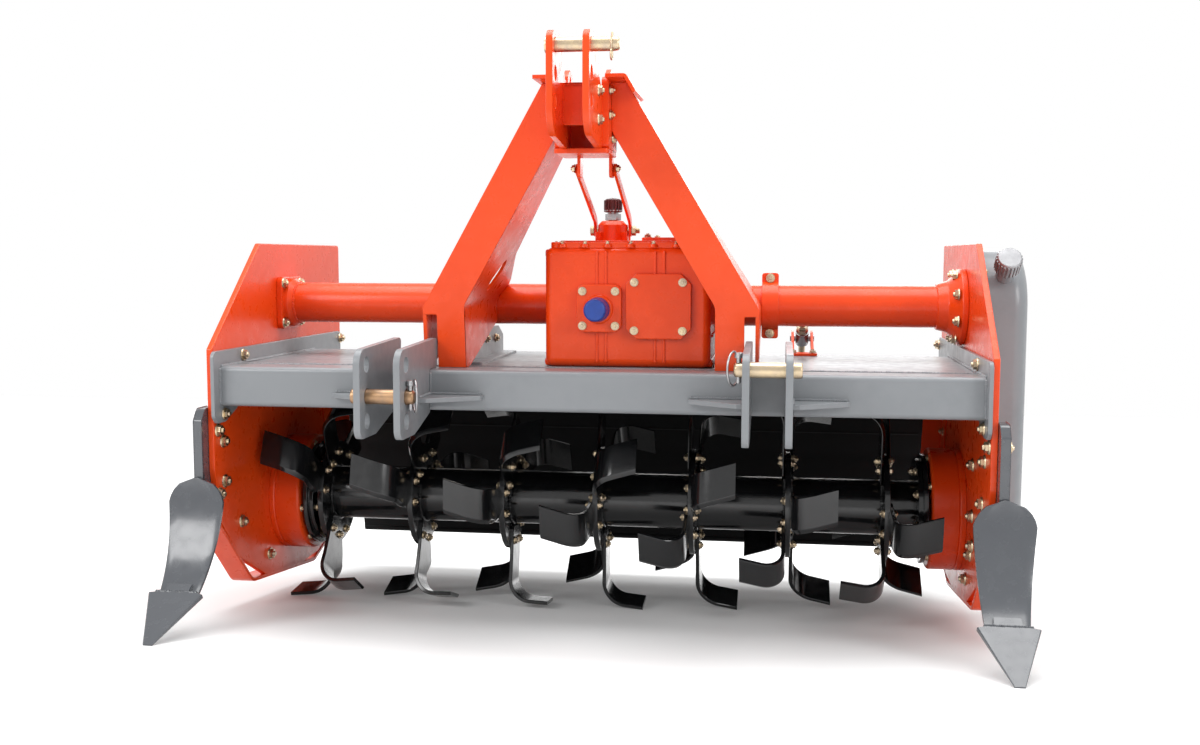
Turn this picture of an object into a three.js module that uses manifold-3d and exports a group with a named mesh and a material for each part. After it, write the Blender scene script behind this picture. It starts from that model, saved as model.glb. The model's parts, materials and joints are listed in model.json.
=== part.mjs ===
// A rotary tiller for a tractor's three-point linkage, as it parks: pitched forward,
// on the points of its two track shovels and on the knives of its rotor.
//
// Every piece is drawn in the machine's own frame: x across the working width, y back from
// the tractor, z up, with the origin on the rotor's axis midway between the side plates.
// The last lines pitch the machine onto its shovel points and put its origin on the floor.

import * as THREE from 'three';
import { mergeVertices } from 'three/addons/utils/BufferGeometryUtils.js';
import Module from 'manifold-3d';

const wasm = await Module();
wasm.setup();

// ---- Driving dimensions, in millimetres -------------------------------------------------

const gap = 0.3; // left between faces that touch
const run = 5; // clearance of what moves past a neighbour

// Side plates and the frame between them
const insideWidth = 1500;
const sidePlateThickness = 12;
const plateTop = 566;
const plateBack = 341;
const plateFront = -390;
const plateTopFront = -144;
const plateKneeZ = 354;
const plateToeZ = 112;
const endPlateThickness = 8;
const beamSize = 80;
const beamWall = 6;
const beamCorner = 10;
const beamFront = -375;
const beamBottom = 239;
const deckThickness = 4;
const deckBend = 150; // where the deck starts to slope down to the trailing board
const railAcross = 273; // of the two rails that stand on the deck
const railThickness = 6;

// Skids
const skidWidth = 48;
const skidThickness = 8;

// Rotor
const rotorReach = 242; // to the outermost corner of a knife
const tubeRadius = 60;
const tubeWall = 9;
const flangeCount = 7;
const flangePitch = 205;
const flangeMiddle = -22;
const flangeRadius = 116;
const flangeThickness = 12;
const pairsPerFlange = 3; // a knife on each face of the flange makes a pair
const flangeTurn = 12; // degrees from one flange to the next
const pairTurn = 3 * flangeTurn; // degrees from a pair's first knife to its second
const knifeThickness = 8;
const knifeWidth = 74;
const knifeBend = 46; // radius of the bend, along the knife's middle
const knifeRoot = 64; // how near the rotor's axis a knife's stem starts
const knifeSweep = 34; // how far the knife's tip trails its stem
const sweepBeforeBend = 8;
const knifeReachAcross = 98; // from the flange's middle to the knife's tip
const drumRadius = 130;
const drumDepth = 68;
const baffleWidth = 48;
const baffleSeat = 55; // how far its other leg reaches forward on the side plate
const baffleThickness = 4;
const baffleBack = 298; // of its lower end, from the rotor's axis
const baffleLow = 48;
const baffleHigh = beamBottom; // under the end plates
const baffleLean = 20; // degrees that it leans forward
const journalRadius = 32; // of the bore in the rotor tube's ends

// Axle tubes and gearbox
const axleZ = 434;
const axleRadius = 44.5;
const axleWall = 7;
const inputX = 7;
const housingLeft = -105;
const housingRight = 229;
const housingFront = -250;
const housingBack = 112;
const housingTop = 558;
const housingWall = 16;
const railTop = axleZ - axleRadius - 6.5; // of the deck's rails, just under the axle tubes
const shaftRadius = 17;
const lidThickness = 13;
const neckX = inputX + 2; // the lid's neck, which carries the breather and the stays' bolt
const neckY = -60;
const neckRadius = 37;
const stayBoltRadius = 6;
const stayBoltZ = housingTop + 36;

// Side gear case
const caseDepth = 92;
const caseRadius = 122;
const caseFlange = 11;

// Three-point mast and hitch
const hitchCentre = -4;
const hitchSpacing = 698;
const hitchGap = 62;
const hitchPlate = 13;
const hitchFront = -570;
const hitchPinRadius = 14;
const lugGap = 52;
const lugThickness = 12;
const topPinRadius = 12.5;
const legHalfFoot = 330; // from the middle to the outside of a leg's foot
const legHalfTop = 80; // and to the outside of its top
const legWidth = 70;
const legWall = 7;
const legTopZ = 862;
const legKneeZ = axleZ + 4;
const headTop = legTopZ - 10;
const headBottom = headTop - 114;
const topPinZ = legTopZ + 44;
const stayAcross = neckRadius; // from the middle of the lid's neck to a stay
const stayThickness = 6;
const stayTop = [-328, headBottom - 40];

// Trailing board
const boardHinge = [308, 214];
const hingeRodRadius = 6.4;
const hingePlay = 0.8;
const knuckleRadius = 12;
const leafThickness = 5;
const boardThickness = 4;
const boardWidth = insideWidth - 30;
const boardLip = [470, -190];
const rodAcross = 418;
const rodRadius = 8;
const pinRadius = 6;
const eyeDrift = 4; // room that the rod's eye has round the board's pin
const eyeWall = 6;
const eyeWidth = 18;
const earThickness = 6;
const boardEarAcross = 24; // from a support rod's middle to an ear on the board
const bracketEarAcross = 22; // and to an ear on the deck's bracket
const trunnionRadius = 9;
const trunnionBody = 15;

// Track shovels
const shovelAcross = insideWidth / 2 + sidePlateThickness + 12;
const shovelTip = [-651, -167];
const shovelWidth = 114;
const shovelThickness = 9;

// ---- Paints and finishes ----------------------------------------------------------------

const finish = (colour, roughness, metalness) =>
  new THREE.MeshStandardMaterial({ color: colour, roughness, metalness });
const orange = finish(0xe2491d, 0.35, 0.1);
const grey = finish(0x8b8e91, 0.4, 0.2);
const black = finish(0x0c0c0e, 0.22, 0.2);
const zinc = finish(0xc2a46a, 0.35, 0.9);
const steel = finish(0x74777a, 0.4, 0.8);
const blue = finish(0x1f4fc4, 0.35, 0);

// ---- Solids -----------------------------------------------------------------------------

const machine = new THREE.Group();

function solidOf(geometry) {
  const bare = new THREE.BufferGeometry();
  bare.setAttribute('position', geometry.getAttribute('position'));
  if (geometry.index) bare.setIndex(geometry.index);
  const merged = mergeVertices(bare, 1e-3);
  return new wasm.Manifold(
    new wasm.Mesh({
      numProp: 3,
      vertProperties: merged.attributes.position.array,
      triVerts: new Uint32Array(merged.index.array),
    }),
  );
}

function geometryOf(solid) {
  const mesh = solid.getMesh();
  const geometry = new THREE.BufferGeometry();
  geometry.setAttribute('position', new THREE.BufferAttribute(new Float32Array(mesh.vertProperties), 3));
  geometry.setIndex(new THREE.BufferAttribute(new Uint32Array(mesh.triVerts), 1));
  const flat = geometry.toNonIndexed();
  flat.computeVertexNormals();
  return flat;
}

function add(name, material, solid) {
  const mesh = new THREE.Mesh(geometryOf(solid), material);
  mesh.name = name;
  machine.add(mesh);
}

const joined = (...solids) => solids.reduce((sum, each) => sum.add(each));
const cut = (solid, ...tools) => tools.reduce((rest, tool) => rest.subtract(tool), solid);
const mirrored = (solid, across = 0) =>
  solid.translate([-across, 0, 0]).mirror([1, 0, 0]).translate([across, 0, 0]);

function extruded(outline, depth, holes = []) {
  const shape = outline instanceof THREE.Shape ? outline : shapeOf(outline);
  shape.holes.push(...holes);
  return new THREE.ExtrudeGeometry(shape, { depth, bevelEnabled: false, curveSegments: 4 });
}

const shapeOf = (points) => new THREE.Shape(points.map(([u, v]) => new THREE.Vector2(u, v)));

// A plate whose outline is drawn in (y, z) and that runs from x0 to x1.
function acrossX(outline, x0, x1, holes) {
  const geometry = extruded(outline, x1 - x0, holes);
  const turn = new THREE.Matrix4().makeBasis(
    new THREE.Vector3(0, 1, 0),
    new THREE.Vector3(0, 0, 1),
    new THREE.Vector3(1, 0, 0),
  );
  return solidOf(geometry.applyMatrix4(turn).translate(x0, 0, 0));
}

// A plate whose outline is drawn in (x, z) and that runs from y0 back to y1.
function alongY(outline, y0, y1, holes) {
  const geometry = extruded(outline, y1 - y0, holes).rotateX(Math.PI / 2);
  return solidOf(geometry.translate(0, y1, 0));
}

// A plate whose outline is drawn in (x, y) and that runs from z0 up to z1.
function upZ(outline, z0, z1, holes) {
  return solidOf(extruded(outline, z1 - z0, holes).translate(0, 0, z0));
}

const box = (x0, x1, y0, y1, z0, z1) =>
  solidOf(
    new THREE.BoxGeometry(x1 - x0, y1 - y0, z1 - z0).translate((x0 + x1) / 2, (y0 + y1) / 2, (z0 + z1) / 2),
  );

// A turned piece: its profile is drawn as (distance along the axis, radius), from one end to
// the other, and it stands on the axis that starts at `from` and points along `axis`.
function turned(profile, from, axis, segments = 18) {
  const points = profile.map(([along, radius]) => new THREE.Vector2(radius, along));
  const geometry = new THREE.LatheGeometry(points, segments);
  const solid = new THREE.BufferGeometry();
  solid.setAttribute('position', geometry.getAttribute('position'));
  solid.setIndex(geometry.index);
  const toAxis = new THREE.Quaternion().setFromUnitVectors(
    new THREE.Vector3(0, 1, 0),
    new THREE.Vector3(...axis).normalize(),
  );
  solid.applyQuaternion(toAxis);
  solid.translate(...from);
  const made = solidOf(cleaned(solid));
  return made.volume() < 0 ? solidOf(flipped(cleaned(solid))) : made;
}

// A profile that ends on the axis leaves triangles of no area there.
function cleaned(geometry) {
  const merged = mergeVertices(geometry, 1e-3);
  const kept = [];
  const index = merged.index.array;
  for (let i = 0; i < index.length; i += 3) {
    const [a, b, c] = [index[i], index[i + 1], index[i + 2]];
    if (a !== b && b !== c && c !== a) kept.push(a, b, c);
  }
  merged.setIndex(kept);
  return merged;
}

function flipped(geometry) {
  const index = geometry.index.array;
  for (let i = 0; i < index.length; i += 3) [index[i + 1], index[i + 2]] = [index[i + 2], index[i + 1]];
  return geometry;
}

const X = [1, 0, 0];
const Y = [0, 1, 0];
const Z = [0, 0, 1];

const rod = (radius, from, axis, length, segments = 16) =>
  turned([[0, 0], [0, radius], [length, radius], [length, 0]], from, axis, segments);

const ring = (inner, outer, from, axis, length, segments = 20) =>
  turned([[0, inner], [0, outer], [length, outer], [length, inner], [0, inner]], from, axis, segments);

// A rectangle with round corners, as an outline for the plates above.
function roundBox(u0, u1, v0, v1, radius) {
  const shape = new THREE.Shape();
  shape.moveTo(u0 + radius, v0);
  shape.lineTo(u1 - radius, v0);
  shape.absarc(u1 - radius, v0 + radius, radius, -Math.PI / 2, 0);
  shape.lineTo(u1, v1 - radius);
  shape.absarc(u1 - radius, v1 - radius, radius, 0, Math.PI / 2);
  shape.lineTo(u0 + radius, v1);
  shape.absarc(u0 + radius, v1 - radius, radius, Math.PI / 2, Math.PI);
  shape.lineTo(u0, v0 + radius);
  shape.absarc(u0 + radius, v0 + radius, radius, Math.PI, 1.5 * Math.PI);
  return shape;
}

// A bent sheet's section: the line of its upper face, and the same line one thickness lower.
function sheet(line, thickness) {
  const lower = line.map((point, i) => {
    const before = line[Math.max(i - 1, 0)];
    const after = line[Math.min(i + 1, line.length - 1)];
    const here = new THREE.Vector2(...point);
    const inward = new THREE.Vector2(...point).sub(new THREE.Vector2(...before)).normalize();
    const outward = new THREE.Vector2(...after).sub(here).normalize();
    if (i === 0) inward.copy(outward);
    if (i === line.length - 1) outward.copy(inward);
    const normal = new THREE.Vector2(-(inward.y + outward.y), inward.x + outward.x).normalize();
    const straight = new THREE.Vector2(-inward.y, inward.x);
    return here.addScaledVector(normal, -thickness / normal.dot(straight)).toArray();
  });
  return [...line, ...lower.reverse()];
}

// An outline moved inward by a distance, its corners kept.
function inset(points, distance) {
  const count = points.length;
  return points.map((point, i) => {
    const before = new THREE.Vector2(...points[(i + count - 1) % count]);
    const after = new THREE.Vector2(...points[(i + 1) % count]);
    const here = new THREE.Vector2(...point);
    const one = here.clone().sub(before).normalize();
    const two = after.sub(here).normalize();
    const normal = new THREE.Vector2(-(one.y + two.y), one.x + two.x).normalize();
    return here.addScaledVector(normal, distance / normal.dot(new THREE.Vector2(-one.y, one.x))).toArray();
  });
}

const degrees = Math.PI / 180;
const halfInside = insideWidth / 2;
const frameEnd = halfInside - gap - endPlateThickness - gap; // the end plates' inner faces, less a gap
const beamTop = beamBottom + beamSize;
const beamBack = beamFront + beamSize;
const deckTop = beamTop - 2;

// ---- Side plates, end plates and skids --------------------------------------------------

const skidLine = [
  [-368, -2],
  [-219, -153],
  [137, -194],
  [250, -157],
];

function sidePlates() {
  const outline = [
    [plateFront, plateKneeZ],
    [plateFront, plateToeZ],
    [-372, 4],
    [-278, -95],
    [-150, -163],
    [60, -187],
    [160, -182],
    [plateBack - 92, -154],
    [plateBack, -100],
    [plateBack, plateTop],
    [plateTopFront, plateTop],
  ];
  const right = acrossX(outline, halfInside, halfInside + sidePlateThickness);
  add('side_plate_right', orange, right);
  add('side_plate_left', orange, mirrored(right));

  const skid = cut(
    acrossX(sheet(skidLine, skidThickness), halfInside, halfInside + skidWidth),
    acrossX(inset(outline, -gap), halfInside - 1, halfInside + sidePlateThickness + gap),
  );
  add('skid_right', orange, skid);
  add('skid_left', orange, mirrored(skid));
}

function endPlates() {
  const top = plateKneeZ - 4;
  const lobe = 34; // how far the plate's front corner hangs below the beam
  const front = beamFront - 26;
  const outline = [
    [front, beamBottom - lobe + 14],
    [front + 14, beamBottom - lobe],
    [front + 50, beamBottom - lobe],
    [front + 150, beamBottom + 6],
    [plateBack - 40, beamBottom + 6],
    [plateBack - 20, deckTop - 60],
    [plateBack - 20, top - 12],
    [plateBack - 32, top],
    [front + 12, top],
    [front, top - 12],
  ];
  const right = acrossX(outline, halfInside - gap - endPlateThickness, halfInside - gap);
  add('end_plate_right', grey, right);
  add('end_plate_left', grey, mirrored(right));
}

// ---- Beam and deck ----------------------------------------------------------------------

function beam() {
  const outer = roundBox(beamFront, beamBack, beamBottom, beamTop, beamCorner);
  const inner = roundBox(
    beamFront + beamWall,
    beamBack - beamWall,
    beamBottom + beamWall,
    beamTop - beamWall,
    beamCorner - beamWall + 1,
  );
  add('front_beam', grey, acrossX(outer, -frameEnd, frameEnd, [inner]));
}

const deckEnd = [boardHinge[0] - 20, boardHinge[1] + 12];

function deck() {
  const line = [
    [beamBack + gap, deckTop],
    [deckBend, deckTop],
    deckEnd,
  ];
  const sheetSolid = acrossX(sheet(line, deckThickness), -frameEnd, frameEnd);
  const knuckleLeaf = [[deckEnd[0] - 24, deckEnd[1] + 17], [deckEnd[0] + 12, deckEnd[1] - 6]];
  const knuckles = knuckleSpans(1).map(([x0, x1]) =>
    joined(hingeKnuckle(x0, x1), acrossX(sheet(knuckleLeaf, leafThickness), x0, x1)),
  );
  const railFront = -238;
  const railBack = 108;
  const rails = [-1, 1].map((side) => {
    const start = side * railAcross - railThickness / 2;
    return box(start, start + railThickness, railFront, railBack, deckTop - 1, railTop);
  });
  add('hood_deck', grey, joined(sheetSolid, ...knuckles, ...rails));
}

// The hinge's knuckles: spans along x, those of the deck (1) beside those of the board (0).
function knuckleSpans(side) {
  const spans = [];
  const width = 60;
  const offset = side ? -width - run / 2 : run / 2;
  for (const middle of [-620, -210, 210, 620]) spans.push([middle + offset, middle + offset + width]);
  return spans;
}

function hingeKnuckle(x0, x1) {
  return ring(hingeRodRadius + hingePlay, knuckleRadius, [x0, ...boardHinge], X, x1 - x0, 12);
}

// ---- Trailing board ---------------------------------------------------------------------

const boardLine = [
  [boardHinge[0] + 17, boardHinge[1] - 12],
  [boardHinge[0] + 30, boardHinge[1] - 44],
  [boardHinge[0] + 88, boardHinge[1] - 160],
  [boardHinge[0] + 138, boardHinge[1] - 290],
  boardLip,
];

const eyePoint = [boardHinge[0] + 182, boardHinge[1] - 234];
const trunnionPoint = [deckBend + 90, deckTop + 33];

function trailingBoard() {
  const skin = acrossX(sheet(boardLine, boardThickness), -boardWidth / 2, boardWidth / 2);
  const tab = [
    [boardHinge[0] + 13, boardHinge[1] + 3],
    [boardHinge[0] + 19, boardHinge[1] - 11],
    [boardHinge[0] + 26, boardHinge[1] - 30],
  ];
  const knuckles = knuckleSpans(0).map(([x0, x1]) =>
    joined(hingeKnuckle(x0, x1), acrossX(sheet(tab, leafThickness - 0.5), x0, x1)),
  );
  const lipRadius = 9;
  const lip = rod(lipRadius, [-boardWidth / 2, boardLip[0] + 2, boardLip[1] + 2], X, boardWidth, 12);
  const ears = [];
  for (const side of [-1, 1]) {
    for (const face of [-1, 1]) {
      const x = side * rodAcross + face * boardEarAcross;
      const ear = [
        [boardHinge[0] + 80, boardHinge[1] - 148],
        [boardHinge[0] + 120, boardHinge[1] - 250],
        [eyePoint[0] + 2, eyePoint[1] - 16],
        [eyePoint[0] + 15, eyePoint[1] - 4],
        [eyePoint[0] + 12, eyePoint[1] + 12],
      ];
      ears.push(acrossX(ear, x - earThickness / 2, x + earThickness / 2));
    }
    const pinHalf = boardEarAcross + earThickness;
    ears.push(rod(pinRadius, [side * rodAcross - pinHalf, ...eyePoint], X, 2 * pinHalf, 12));
  }
  add('trailing_board', black, joined(skin, lip, ...knuckles, ...ears));
  const rodEnd = frameEnd - 40;
  add('board_hinge_rod', zinc, rod(hingeRodRadius, [-rodEnd, ...boardHinge], X, 2 * rodEnd, 12));
}

const rodDirection = new THREE.Vector2(...trunnionPoint).sub(new THREE.Vector2(...eyePoint));
const rodSpan = rodDirection.length();
rodDirection.normalize();

// A point on a support rod's axis, at a distance up from the eye on the board.
const onRod = (x, distance) => [
  x,
  eyePoint[0] + rodDirection.x * distance,
  eyePoint[1] + rodDirection.y * distance,
];

function supportRods() {
  const axis = [0, rodDirection.x, rodDirection.y];
  const eyeRadius = pinRadius + eyeDrift;
  const beyondTrunnion = 62;
  const stopRadius = 15;
  const seatRadius = 16;
  const springStart = 45;
  const springLength = 120;
  for (const [name, side] of [['left', -1], ['right', 1]]) {
    const x = side * rodAcross;
    const eye = ring(eyeRadius, eyeRadius + eyeWall, [x - eyeWidth / 2, ...eyePoint], X, eyeWidth, 14);
    const shank = rod(rodRadius, onRod(x, eyeRadius + eyeWall / 2), axis, rodSpan + beyondTrunnion, 12);
    const stop = rod(stopRadius, onRod(x, rodSpan + trunnionBody + 1 + gap), axis, 10, 12);
    const seat = rod(seatRadius, onRod(x, springStart - 5), axis, 6, 12);
    const spring = coil(x, springStart, springLength);
    add(`support_rod_${name}`, zinc, joined(eye, shank, stop, seat, spring));

    const bodyHalf = trunnionBody + 1;
    const journalHalf = bracketEarAcross + earThickness;
    const block = cut(
      joined(
        rod(trunnionBody, onRod(x, rodSpan - bodyHalf), axis, 2 * bodyHalf),
        rod(trunnionRadius, [x - journalHalf, ...trunnionPoint], X, 2 * journalHalf, 16),
      ),
      rod(rodRadius + gap, onRod(x, rodSpan - 2 * bodyHalf), axis, 4 * bodyHalf, 12),
    );
    add(`trunnion_${name}`, steel, block);

    const ears = [-1, 1].map((face) => {
      const at = x + face * bracketEarAcross;
      const outline = [
        [deckBend - 20, deckTop - 2],
        [deckBend + 60, deckTop - 60],
        [trunnionPoint[0] + 14, trunnionPoint[1] - 14],
        [trunnionPoint[0] + 17, trunnionPoint[1] + 6],
        [trunnionPoint[0] + 4, trunnionPoint[1] + 18],
        [trunnionPoint[0] - 16, trunnionPoint[1] + 14],
        [deckBend - 20, deckTop + 12],
      ];
      const boreStart = [at - earThickness, ...trunnionPoint];
      const bore = rod(trunnionRadius + gap, boreStart, X, 2 * earThickness, 16);
      return cut(acrossX(outline, at - earThickness / 2, at + earThickness / 2), bore);
    });
    const foot = box(x - 32, x + 32, deckBend - 46, deckBend - 4, deckTop + gap, deckTop + 6);
    const web = box(x - 25, x + 25, deckBend - 20, deckBend - 8, deckTop + 1, deckTop + 14);
    const above = cut(
      joined(...ears, foot, web),
      acrossX(
        [
          [beamBack, deckTop + gap],
          [beamBack, deckTop - 60],
          [deckEnd[0], deckEnd[1] - 60],
          [deckEnd[0], deckEnd[1] + gap],
          [deckBend, deckTop + gap],
        ],
        x - 50,
        x + 50,
      ),
    );
    add(`rod_bracket_${name}`, orange, above);
  }
}

// A spring around a support rod, as the sleeve that its turns fill.
function coil(x, from, length) {
  const axis = [0, rodDirection.x, rodDirection.y];
  return ring(rodRadius + 2, rodRadius + 7, onRod(x, from), axis, length, 12);
}

// ---- Axle tubes, gearbox and gear case ----------------------------------------------------

function axleTubes() {
  const flangeSize = 65;
  const flangeHalfDepth = 75;
  const rim = axleRadius + 20; // of the flange at the gearbox end of a tube
  const hole = (x) => rod(axleRadius - axleWall, [x - 5, 0, axleZ], X, 60, 20);
  const leftEnd = -halfInside + gap;
  const [flangeLow, flangeHigh] = [axleZ - flangeSize, axleZ + flangeSize];
  const flangeShape = roundBox(-flangeHalfDepth, flangeHalfDepth, flangeLow, flangeHigh, 16);
  const leftFlange = acrossX(flangeShape, leftEnd, leftEnd + 12);
  const collar = rod(axleRadius + 10, [leftEnd, 0, axleZ], X, 30, 20);
  const tube = ring(
    axleRadius - axleWall,
    axleRadius,
    [leftEnd, 0, axleZ],
    X,
    housingLeft - gap - leftEnd,
  );
  const inner = ring(axleRadius - axleWall, rim, [housingLeft - 12 - gap, 0, axleZ], X, 12);
  add('axle_tube_left', orange, joined(cut(joined(leftFlange, collar), hole(leftEnd)), tube, inner));

  const rightEnd = halfInside - gap;
  const bell = turned(
    [
      [0, axleRadius - axleWall],
      [0, axleRadius + 4],
      [28, axleRadius + 12],
      [44, axleRadius + 34],
      [58, axleRadius + 37],
      [58, axleRadius - axleWall],
      [0, axleRadius - axleWall],
    ],
    [rightEnd - 58, 0, axleZ],
    X,
    20,
  );
  const rightTube = ring(
    axleRadius - axleWall,
    axleRadius,
    [housingRight + gap, 0, axleZ],
    X,
    rightEnd - 30 - housingRight,
  );
  const innerRight = ring(axleRadius - axleWall, rim, [housingRight + gap, 0, axleZ], X, 10);
  add('axle_tube_right', orange, joined(bell, rightTube, innerRight));
}

function gearbox() {
  const bottom = deckTop + gap;
  const middleY = (housingFront + housingBack) / 2;
  const body = roundBlock(housingLeft, housingRight, housingFront, housingBack, bottom, housingTop, 18);
  const wall = housingWall;
  const hollow = box(
    housingLeft + wall,
    housingRight - wall,
    housingFront + wall,
    housingBack - wall,
    bottom + wall,
    housingTop + 10,
  );
  const ribThickness = 5;
  const ribs = [inputX + 4, inputX + 121].flatMap((x) =>
    [-9, 9].map((side) => {
      const start = x + side - ribThickness / 2;
      return box(start, start + ribThickness, housingFront - 3, middleY, bottom + 12, housingTop - 12);
    }),
  );
  const bores = [
    rod(axleRadius - axleWall, [housingLeft - 5, 0, axleZ], X, housingRight - housingLeft + 10),
    rod(shaftRadius + 12, [inputX, housingFront - 10, axleZ], Y, 60),
  ];
  add('gearbox_housing', orange, cut(joined(body, ...ribs), hollow, ...bores));

  const lidZ = housingTop + gap;
  const lid = upZ(
    roundBox(housingLeft + 14, housingRight - 14, housingFront + 12, housingBack - 12, 14),
    lidZ,
    lidZ + lidThickness,
  );
  const raised = upZ(roundBox(84, 176, -190, 40, 10), lidZ + lidThickness - 1, lidZ + lidThickness + 7);
  const neck = turned(
    [[0, 0], [0, neckRadius], [8, neckRadius - 3], [40, neckRadius - 4], [48, 24], [48, 0]],
    [neckX, neckY, lidZ + lidThickness - 3],
    Z,
  );
  const bossBore = rod(stayBoltRadius + 0.4, [neckX - 2 * neckRadius, neckY, stayBoltZ], X, 4 * neckRadius);
  const stemRadius = 10.5;
  const stemBore = rod(stemRadius + 0.5, [neckX, neckY, lidZ + 40], Z, 40);
  add('gearbox_lid', orange, cut(joined(lid, raised, neck), bossBore, stemBore));
  const breather = turned(
    [[0, 0], [0, stemRadius], [16, stemRadius], [16, 17], [30, 17], [33, 21], [60, 21], [62, 19], [62, 0]],
    [neckX, neckY, lidZ + 42 + gap],
    Z,
    20,
  );
  add('breather_cap', steel, breather);

  const coverY = housingFront - 3 - gap;
  const inputCover = cut(
    joined(
      alongY(roundBox(inputX - 48, inputX + 48, axleZ - 52, axleZ + 52, 14), coverY - 10, coverY),
      rod(28, [inputX, coverY - 14, axleZ], Y, 12),
    ),
    rod(shaftRadius + 2.5 * gap, [inputX, coverY - 30, axleZ], Y, 60),
  );
  add('input_cover', orange, inputCover);
  const octagon = (half, corner, x, z) => [
    [x - half + corner, z - half],
    [x + half - corner, z - half],
    [x + half, z - half + corner],
    [x + half, z + half - corner],
    [x + half - corner, z + half],
    [x - half + corner, z + half],
    [x - half, z + half - corner],
    [x - half, z - half + corner],
  ];
  const inspection = alongY(octagon(66, 22, inputX + 119, axleZ + 6), coverY - 8, coverY);
  add('inspection_cover', orange, inspection);

  const shaftEnd = coverY - 62;
  add('input_shaft', steel, splineShaft(shaftEnd, housingFront + 90));
  const cap = turned(
    [[0, 0], [0, 19], [3, 22], [44, 23], [44, shaftRadius + 1.2], [6, shaftRadius + 1.2], [6, 0]],
    [inputX, shaftEnd - 6 - gap, axleZ],
    Y,
  );
  add('input_shaft_cap', blue, cap);
}

// The splined input shaft: six keys on a round core.
function splineShaft(front, back) {
  const shape = new THREE.Shape();
  const keys = 6;
  const core = shaftRadius - 3;
  const half = 0.2;
  for (let key = 0; key < keys; key += 1) {
    const middle = (key * 2 * Math.PI) / keys;
    for (const [turn, radius] of [[-half, core], [-half, shaftRadius], [half, shaftRadius], [half, core]]) {
      const angle = middle + turn;
      const point = [inputX + radius * Math.cos(angle), axleZ + radius * Math.sin(angle)];
      if (key === 0 && turn === -half && radius === core) shape.moveTo(...point);
      else shape.lineTo(...point);
    }
  }
  return alongY(shape, front, back);
}

// A block with chamfered edges all round, as the casting's outer form.
function roundBlock(x0, x1, y0, y1, z0, z1, edge) {
  const plan = upZ(roundBox(x0, x1, y0, y1, edge), z0, z1);
  const front = alongY(roundBox(x0, x1, z0, z1, edge), y0, y1);
  const side = acrossX(roundBox(y0, y1, z0, z1, edge), x0, x1);
  return plan.intersect(front).intersect(side);
}

function stadium(radius, low, high) {
  const shape = new THREE.Shape();
  shape.moveTo(radius, low);
  shape.lineTo(radius, high);
  shape.absarc(0, high, radius, 0, Math.PI);
  shape.lineTo(-radius, low);
  shape.absarc(0, low, radius, Math.PI, 2 * Math.PI);
  return shape;
}

function gearCase() {
  const inner = halfInside + sidePlateThickness + gap;
  const flange = acrossX(stadium(caseRadius + 12, 0, axleZ), inner, inner + caseFlange);
  const shell = acrossX(stadium(caseRadius, 0, axleZ), inner, inner + caseDepth);
  const face = acrossX(stadium(caseRadius - 16, 0, axleZ), inner, inner + caseDepth + 10);
  const hollow = acrossX(stadium(caseRadius - 9, 0, axleZ), inner - 1, inner + caseDepth - 8);
  const capAxis = [0, -Math.cos(34 * degrees), Math.sin(34 * degrees)];
  const onCap = (distance) => [
    inner + 52,
    capAxis[1] * distance,
    axleZ + capAxis[2] * distance,
  ];
  const neck = rod(15, onCap(caseRadius - 8), capAxis, 24);
  const neckBore = rod(9, onCap(caseRadius - 30), capAxis, 60);
  add('gear_case', grey, cut(joined(flange, shell, face, neck), hollow, neckBore));
  const cap = turned(
    [[0, 0], [0, 20], [6, 26], [26, 26], [32, 22], [34, 12], [34, 0]],
    onCap(caseRadius + 16 + gap),
    capAxis,
  );
  add('gear_case_cap', steel, cap);
}

// ---- Rotor ------------------------------------------------------------------------------

const drumInner = halfInside - gap - drumDepth;
const rotorLeft = -drumInner + run;
const rotorRight = drumInner - run;
const step = 10; // each of the two steps of the rotor's ends

function rotorTube() {
  const length = rotorRight - rotorLeft;
  const profile = [
    [0, journalRadius],
    [0, drumRadius - 12],
    [step, drumRadius - 12],
    [step, drumRadius - 22],
    [2 * step, drumRadius - 22],
    [2 * step, tubeRadius],
    [length - 2 * step, tubeRadius],
    [length - 2 * step, drumRadius - 22],
    [length - step, drumRadius - 22],
    [length - step, drumRadius - 12],
    [length, drumRadius - 12],
    [length, journalRadius],
    [length - step, journalRadius],
    [length - 2 * step, tubeRadius - tubeWall],
    [2 * step, tubeRadius - tubeWall],
    [step, journalRadius],
    [0, journalRadius],
  ];
  add('rotor_tube', black, turned(profile, [rotorLeft, 0, 0], X, 24));
}

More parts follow.
